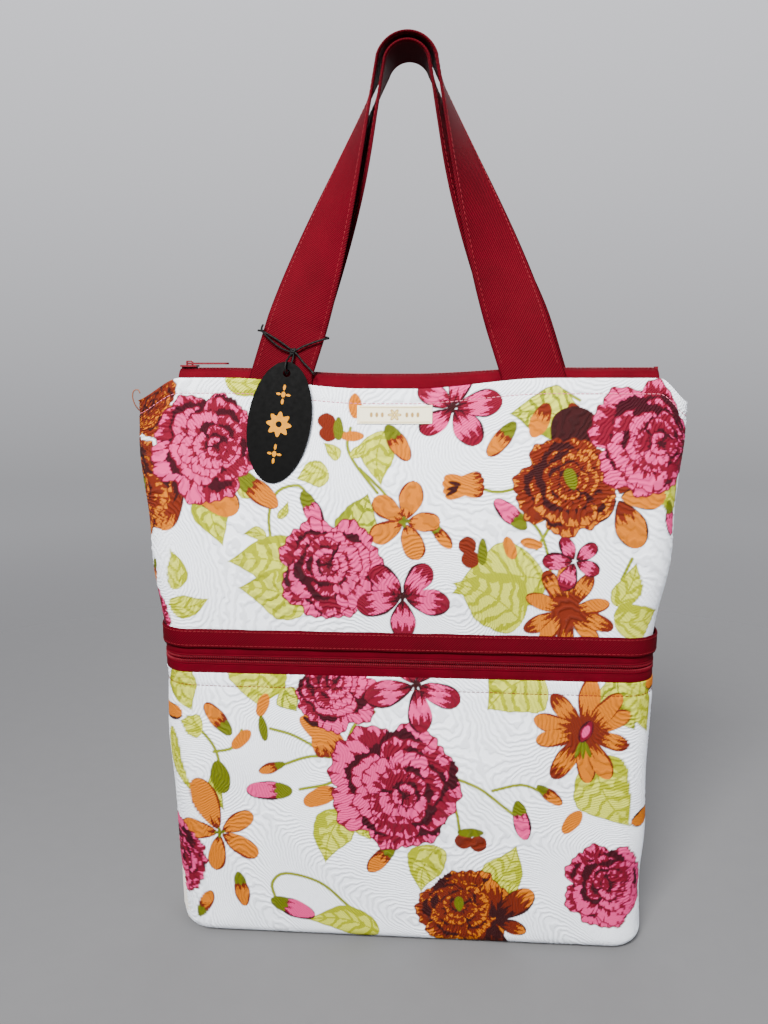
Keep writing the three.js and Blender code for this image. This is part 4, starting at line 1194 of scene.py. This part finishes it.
def mouth_teeth(name, side, first, last, body, node):
    x = np.arange(first, last, COIL_PITCH)
    line = np.stack([x, np.full_like(x, side * 1.95), CLOTH_TOP + 6.0 - mouth_sag(x)], axis=1)
    across = np.tile([0.15, 1.0, 0.0], (len(x), 1))
    out = np.tile([0.0, 0.0, 1.0], (len(x), 1))
    piece = beads(name, line, across, out, (1.9, 1.1, 1.8), COIL)
    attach(piece, body)
    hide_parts(node)
    ridge = np.stack([x, np.full_like(x, side * 3.0), CLOTH_TOP + 6.6 - mouth_sag(x)], axis=1)
    seam = stitches(name + "_seam", ridge, (0, 0, 1), RED_THREAD, 2.4, 0.6)
    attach(seam, body)


def make_mouth():
    mouth_strip("mouth_tape_front", -1, MOUTH_LEFT, MOUTH_RIGHT, "mouth_front", "top_tape_front")
    mouth_strip("mouth_tape_back", 1, -140.0, MOUTH_RIGHT, "mouth_back", "top_tape_back")
    mouth_teeth("mouth_coil_front", -1, -140.0, 161.0, "mouth_front", "top_coil_front")
    mouth_teeth("mouth_coil_back", 1, -139.4, 161.0, "mouth_back", "top_coil_back")


def softened(node, body, material):
    """A copy of a CAD node with its edges rounded off."""
    source = bpy.data.objects[node]
    mesh = source.data.copy()
    mesh.transform(source.matrix_world)
    mesh.materials.clear()
    piece = new_piece(node + "_shown", mesh, material)
    bevel = piece.modifiers.new("round", "BEVEL")
    bevel.width = EDGE_ROUNDING * MM
    bevel.segments = 3
    bevel.limit_method = "ANGLE"
    bevel.angle_limit = math.radians(35.0)
    graph = bpy.context.evaluated_depsgraph_get()
    piece.data = bpy.data.meshes.new_from_object(piece.evaluated_get(graph))
    piece.modifiers.clear()
    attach(piece, body)
    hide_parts(node)


# --- Handles ---------------------------------------------------------------------------------
def handle_centre_line(span, rise):
    """The webbing's middle line: two leaning legs and a round arch, with directions outwards."""
    tilt = math.tan(LEG_LEAN)
    radius = (span - tilt * rise) / (math.cos(LEG_LEAN) - tilt * (1.0 - math.sin(LEG_LEAN)))
    centre = rise - radius
    leg_end = centre + radius * math.sin(LEG_LEAN)
    heights = np.concatenate([
        np.linspace(-23.0, 2.2, 14, endpoint=False), np.linspace(2.2, leg_end, 90, endpoint=False)])
    leg = np.stack([-span + np.clip(heights, 0.0, None) * tilt, heights], axis=1)
    leg_out = np.tile([-math.cos(LEG_LEAN), math.sin(LEG_LEAN)], (len(leg), 1))
    angle = np.linspace(LEG_LEAN, math.pi / 2, 30)
    arch_out = np.stack([-np.cos(angle), np.sin(angle)], axis=1)
    arch = np.stack([radius * arch_out[:, 0], centre + radius * arch_out[:, 1]], axis=1)
    half = np.concatenate([leg, arch])
    half_out = np.concatenate([leg_out, arch_out])
    flip = np.array([-1.0, 1.0])
    middle = np.concatenate([half, (half * flip)[-2::-1]])
    out = np.concatenate([half_out, (half_out * flip)[-2::-1]])
    return middle, out, leg_end


def webbing_section(width, thickness, steps=26):
    """Across and outward places round the webbing's section, its edges slightly beaded."""
    across = np.linspace(-0.5, 0.5, steps + 1) * width
    bead = 0.16 * np.exp(-((np.abs(across) - width / 2 + 1.6) / 1.0) ** 2)
    half = thickness / 2 + bead
    half[0] = half[-1] = thickness * 0.22
    face = np.stack([across, half], axis=1)
    back = np.stack([across[::-1], -half[::-1]], axis=1)
    return np.concatenate([face, back])


def nest_at(side, h):
    """How far inside the middle line a handle runs, at a height above the mouth."""
    if side < 0:
        return np.zeros_like(h)
    return (HANDLE_NEST + HANDLE_SPREAD) * smoothstep(h, 20.0, 150.0) - HANDLE_SPREAD


def handle_points(side, section):
    """The webbing's skin, as rings of the section along the handle's middle line."""
    middle, out_dir, leg_end = handle_centre_line(HANDLE_SPAN, HANDLE_RISE)
    x, h = middle[:, 0], middle[:, 1]
    out_x, out_z = out_dir[:, 0:1], out_dir[:, 1:2]
    turned = np.clip((h - TWIST_START) / (leg_end - TWIST_START), 0.0, 1.0)
    twist = (turned ** 0.9 * math.pi / 2)[:, None]
    lean = smoothstep(h, 0.0, HANDLE_RISE)[:, None]
    across, out = section[None, :, 0], section[None, :, 1]
    in_plane = across * np.cos(twist) + out * np.sin(twist)
    depth = across * np.sin(twist) - out * np.cos(twist)
    level = np.clip(1.0 - (h - 2.2) / 38.0, 0.0, 1.0)[:, None]
    slip = -level * in_plane * math.tan(LEG_LEAN)
    off_line = in_plane - nest_at(side, h)[:, None]
    return np.stack([
        x[:, None] + out_x * off_line - out_z * slip * np.sign(out_x),
        side * HANDLE_SEAT * (1.0 - lean) + depth,
        CLOTH_TOP + h[:, None] + out_z * off_line + slip * math.cos(LEG_LEAN),
    ], axis=-1)


def make_handle(name, side):
    section = webbing_section(WEBBING_WIDTH, WEBBING_THICKNESS)
    points = handle_points(side, section)
    run = distances(points.mean(1))
    # edge marks the webbing's rims, which its material darkens as painted shade
    edge = smoothstep(np.abs(section[:, 0]), 18.6, 20.0)
    strip = np.stack(np.broadcast_arrays(
        run[:, None], section[None, :, 0] + 20.0, edge[None, :]), axis=-1)
    piece = capped_sweep(f"{name}_webbing", points, WEBBING, strip)
    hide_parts(f"{name}_handle", f"{name}_left_strap_end", f"{name}_right_strap_end")
    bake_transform(piece)
    for place in (-STITCH_ROW, STITCH_ROW):
        for face in (-1.0, 1.0):
            row = np.array([[place, face * (WEBBING_THICKNESS / 2 + 0.12)]])
            line = handle_points(side, row)[:, 0]
            base = handle_points(side, np.array([[place, 0.0]]))[:, 0]
            keep = line[:, 2] > CLOTH_TOP + 6.0
            label = "in" if place < 0 else "out"
            thread = stitches(f"{name}_stitch_{label}_{'front' if face > 0 else 'back'}",
                              line[keep], unit(line - base)[keep], RED_THREAD, 3.4, 0.5)
            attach(thread, f"{name}_handle")


def make_handles():
    make_handle("front", -1)
    make_handle("back", 1)


# --- Label and tag ---------------------------------------------------------------------------
def make_label():
    middle, half_height, centre, half_length = 374.0, 6.7, -7.0, 24.5
    x = np.linspace(centre - half_length, centre + half_length, 197)
    z = np.linspace(middle - half_height, middle + half_height, 55)
    grid_x, grid_z = np.meshgrid(x, z)
    lift = 0.9 + creases(grid_x, grid_z)
    points = wall(front_station(grid_x, grid_z), grid_z, -lift)
    cloth = Print((grid_x - centre).ravel(), (grid_z - middle).ravel(), linear("D8D0B2"))
    bronze = [(9.0, linear("8A6A2C"))]
    pale = [(9.0, linear("C9B46A"))]
    for n in range(6):
        cloth.petal(0.0, 0.0, 60.0 * n, 0.4, 4.2, 2.2, bronze, None, n, 1.0)
        cloth.petal(0.0, 0.0, 60.0 * n, 0.9, 2.8, 1.1, pale, None, n, 1.0)
    for side in (-1, 1):
        for n in range(3):
            cloth.petal(side * (8.0 + 3.6 * n), 0.0, 90.0 * side, -1.9, 3.8, 2.0, bronze, None, n, 1.0)
    for edge in (-5.4, 5.4):
        cloth.stem(((-22.5, edge), (0.0, edge), (22.5, edge)), 0.5, linear("A58A4A"))
    rows, columns = grid_x.shape
    piece = quad_piece("label_face", points, grid_faces(rows, columns), LABEL)
    add_colours(piece, "print", cloth.colour)
    add_vectors(piece, "cloth", np.stack([grid_x, grid_z, 0.0 * grid_x], axis=-1))
    solid = piece.modifiers.new("thick", "SOLIDIFY")
    solid.thickness = 0.5 * MM
    solid.offset = -1.0
    graph = bpy.context.evaluated_depsgraph_get()
    piece.data = bpy.data.meshes.new_from_object(piece.evaluated_get(graph))
    piece.modifiers.clear()
    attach(piece, "upper_body")
    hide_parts("woven_label")

    x0, x1 = centre - half_length + 1.0, centre + half_length - 1.0
    z0, z1 = middle - half_height + 1.0, middle + half_height - 1.0
    corners = [(x0, z0), (x1, z0), (x1, z1), (x0, z1), (x0, z0)]
    outline = np.concatenate([
        np.linspace(a, b, 24, endpoint=False) for a, b in zip(corners[:-1], corners[1:])])
    lift = 1.1 + creases(outline[:, 0], outline[:, 1])
    line = wall(front_station(outline[:, 0], outline[:, 1]), outline[:, 1], -lift)
    seam = stitches("label_stitches", line, (0, -1, 0), BEIGE_THREAD, 1.9, 0.3)
    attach(seam, "upper_body")


def flat_shape(name, loops, thickness, bevel, material):
    """A flat plate in X and Z, facing -Y, from closed loops of points; inner loops are holes."""
    data = bpy.data.curves.new(name, "CURVE")
    data.dimensions = "2D"
    data.fill_mode = "BOTH"
    data.extrude = (thickness / 2 - bevel) * MM
    data.bevel_depth = bevel * MM
    data.bevel_resolution = 2
    data.offset = -bevel * MM
    for loop in loops:
        spline = data.splines.new("POLY")
        spline.points.add(len(loop) - 1)
        for point, (x, z) in zip(spline.points, loop):
            point.co = (x * MM, z * MM, 0.0, 1.0)
        spline.use_cyclic_u = True
    shape = bpy.data.objects.new(name + "_outline", data)
    bpy.context.scene.collection.objects.link(shape)
    graph = bpy.context.evaluated_depsgraph_get()
    mesh = bpy.data.meshes.new_from_object(shape.evaluated_get(graph))
    bpy.data.objects.remove(shape)
    mesh.materials.clear()
    mesh.transform(Matrix.Rotation(math.pi / 2, 4, "X"))
    return new_piece(name, mesh, material)


def ellipse(half_width, half_height, centre=(0.0, 0.0), count=96, wobble=0.0, lobes=0):
    turn = 2.0 * math.pi * np.arange(count) / count
    grow = 1.0 + wobble * np.cos(lobes * turn)
    return [(centre[0] + half_width * g * math.cos(a), centre[1] + half_height * g * math.sin(a))
            for a, g in zip(turn, grow)]


def on_tag(piece, forward=0.0):
    """Puts a piece made flat at the origin into the tag's place."""
    turn = Matrix.Rotation(-TAG_RECLINE, 4, "X") @ Matrix.Rotation(TAG_LEAN, 4, "Y")
    place = Matrix.Translation(Vector(TAG_CENTRE * MM))
    piece.data.transform(place @ turn @ Matrix.Translation((0.0, -forward * MM, 0.0)))
    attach(piece, "hang_tag")


def make_tag():
    eye = ellipse(TAG_EYE_RADIUS, TAG_EYE_RADIUS, (0.0, TAG_EYE), 32)
    rim = ellipse(TAG_HALF_WIDTH, TAG_HALF_HEIGHT, count=160)
    card = flat_shape("tag_card", [rim, eye], TAG_THICKNESS, 0.15, CARD)
    on_tag(card)
    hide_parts("hang_tag")
    front = 0.45
    ornaments = {
        "tag_rosette": [ellipse(7.0, 7.0, (0.0, -1.0), 120, 0.20, 8), ellipse(2.0, 2.0, (0.0, -1.0), 32)],
        "tag_sprig_high": sprig(14.0, 1.0),
        "tag_sprig_low": sprig(-16.0, -1.0),
    }
    for name, loops in ornaments.items():
        on_tag(flat_shape(name, loops, 0.1, 0.02, GOLD), front)


def sprig(start, way):
    """Three small leaves in a row, as on a plain printed border."""
    loops = []
    for n in range(3):
        z = start + way * 4.6 * n
        loops.append(ellipse(0.9 + 0.5 * (n % 2), 1.9, (0.0, z), 24))
    for side in (-1.0, 1.0):
        loops.append(ellipse(1.6, 0.8, (side * 3.2, start + way * 4.6), 24))
    return loops


# --- Trim, floor and light -------------------------------------------------------------------
def make_stitching():
    seam_stitches("lower_topstitch", PANEL_STITCH_LOW, "lower_body", RED_THREAD)
    seam_stitches("upper_topstitch", PANEL_STITCH_TOP, "upper_body", PINK_THREAD)
    for name, z in (("band_stitch_low", 211.4), ("band_stitch_high", 221.2)):
        line = wall(seam_stations(), z, -1.5)
        piece = stitches(name, line, wall_out(line), RED_THREAD, SEAM_SPACING, 0.5)
        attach(piece, "upper_body")


def make_loose_thread():
    """A short hooked end of brown thread at the top left corner."""
    route = ((-182.5, -3, 370), (-184.5, -5, 374), (-185.5, -6, 379), (-184.5, -6.5, 383),
             (-181.5, -6.5, 384), (-180.0, -6.4, 381.5))
    line = smooth_line(route, 0.5)
    piece = twisted_tube("loose_thread", line, 0.9, BROWN_THREAD, lobes=2, twist=2.0, sides=10)
    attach(piece, "upper_body")


def make_floor():
    angle = 2.0 * math.pi * np.arange(96) / 96
    radii = np.concatenate([[0.0], np.geomspace(60.0, 2400.0, 24)])
    points = np.stack([
        radii[:, None] * np.cos(angle), radii[:, None] * np.sin(angle), 0.0 * radii[:, None] * angle,
    ], axis=-1)
    floor = quad_piece("floor", points, grid_faces(len(radii), 96, wrap_columns=True), pale_floor())


def area_light(name, place, aim, size, power, colour, spread=180.0):
    data = bpy.data.lights.new(name, "AREA")
    data.shape = "RECTANGLE"
    data.size, data.size_y = size
    data.energy = power
    data.spread = math.radians(spread)
    data.color = colour
    light = bpy.data.objects.new(name, data)
    bpy.context.scene.collection.objects.link(light)
    light.location = place
    light.rotation_mode = "QUATERNION"
    light.rotation_quaternion = (Vector(aim) - Vector(place)).to_track_quat("-Z", "Y")


WALL_LOW, WALL_HIGH = 0.44, 0.72       # how high on the studio's wall its light starts and ends


def make_light():
    area_light("key", (-0.28, -1.10, 1.22), (0, 0, 0.58), (0.5, 0.5), 31.0, (1.0, 0.99, 0.97), 100.0)
    area_light("fill", (1.3, -0.9, 0.9), (0, 0, 0.3), (1.2, 1.2), 9.0, (0.94, 0.97, 1.0))
    area_light("back", (0.2, 1.5, 1.2), (0, 0, 0.3), (1.4, 1.0), 16.0, (1.0, 1.0, 1.0))
    world = bpy.data.worlds.new("studio")
    bpy.context.scene.world = world
    world.use_nodes = True
    nodes, links = world.node_tree.nodes, world.node_tree.links
    ramp = nodes.new("ShaderNodeValToRGB")
    ramp.color_ramp.elements[0].position = WALL_LOW
    ramp.color_ramp.elements[0].color = (0.39, 0.39, 0.41, 1.0)
    ramp.color_ramp.elements[1].position = WALL_HIGH
    ramp.color_ramp.elements[1].color = (1.02, 1.02, 1.08, 1.0)
    split = nodes.new("ShaderNodeSeparateXYZ")
    links.new(nodes.new("ShaderNodeTexCoord").outputs["Generated"], split.inputs[0])
    height = nodes.new("ShaderNodeMath")
    height.operation = "MULTIPLY_ADD"
    links.new(split.outputs["Z"], height.inputs[0])
    height.inputs[1].default_value = height.inputs[2].default_value = 0.5
    links.new(height.outputs[0], ramp.inputs["Fac"])
    links.new(ramp.outputs["Color"], nodes["Background"].inputs["Color"])


def dress_cad_nodes():
    """The CAD pieces that keep their own shape get a finished material."""
    for node, material in (
        ("lower_lining", LINING), ("upper_lining", LINING), ("base_panel", BASE_CLOTH),
        ("top_zip_stop", SLIDER),
    ):
        shown = bpy.data.objects[node]
        shown.data.materials.clear()
        shown.data.materials.append(material)


make_camera()
make_cords()
make_cloth()
make_band()
make_expansion()
make_mouth()
for slider_node in ("top_slider", "top_pull", "mid_slider", "mid_pull"):
    softened(slider_node, slider_node, SLIDER)
make_handles()
make_label()
make_tag()
make_stitching()
make_loose_thread()
dress_cad_nodes()
make_floor()
make_light()
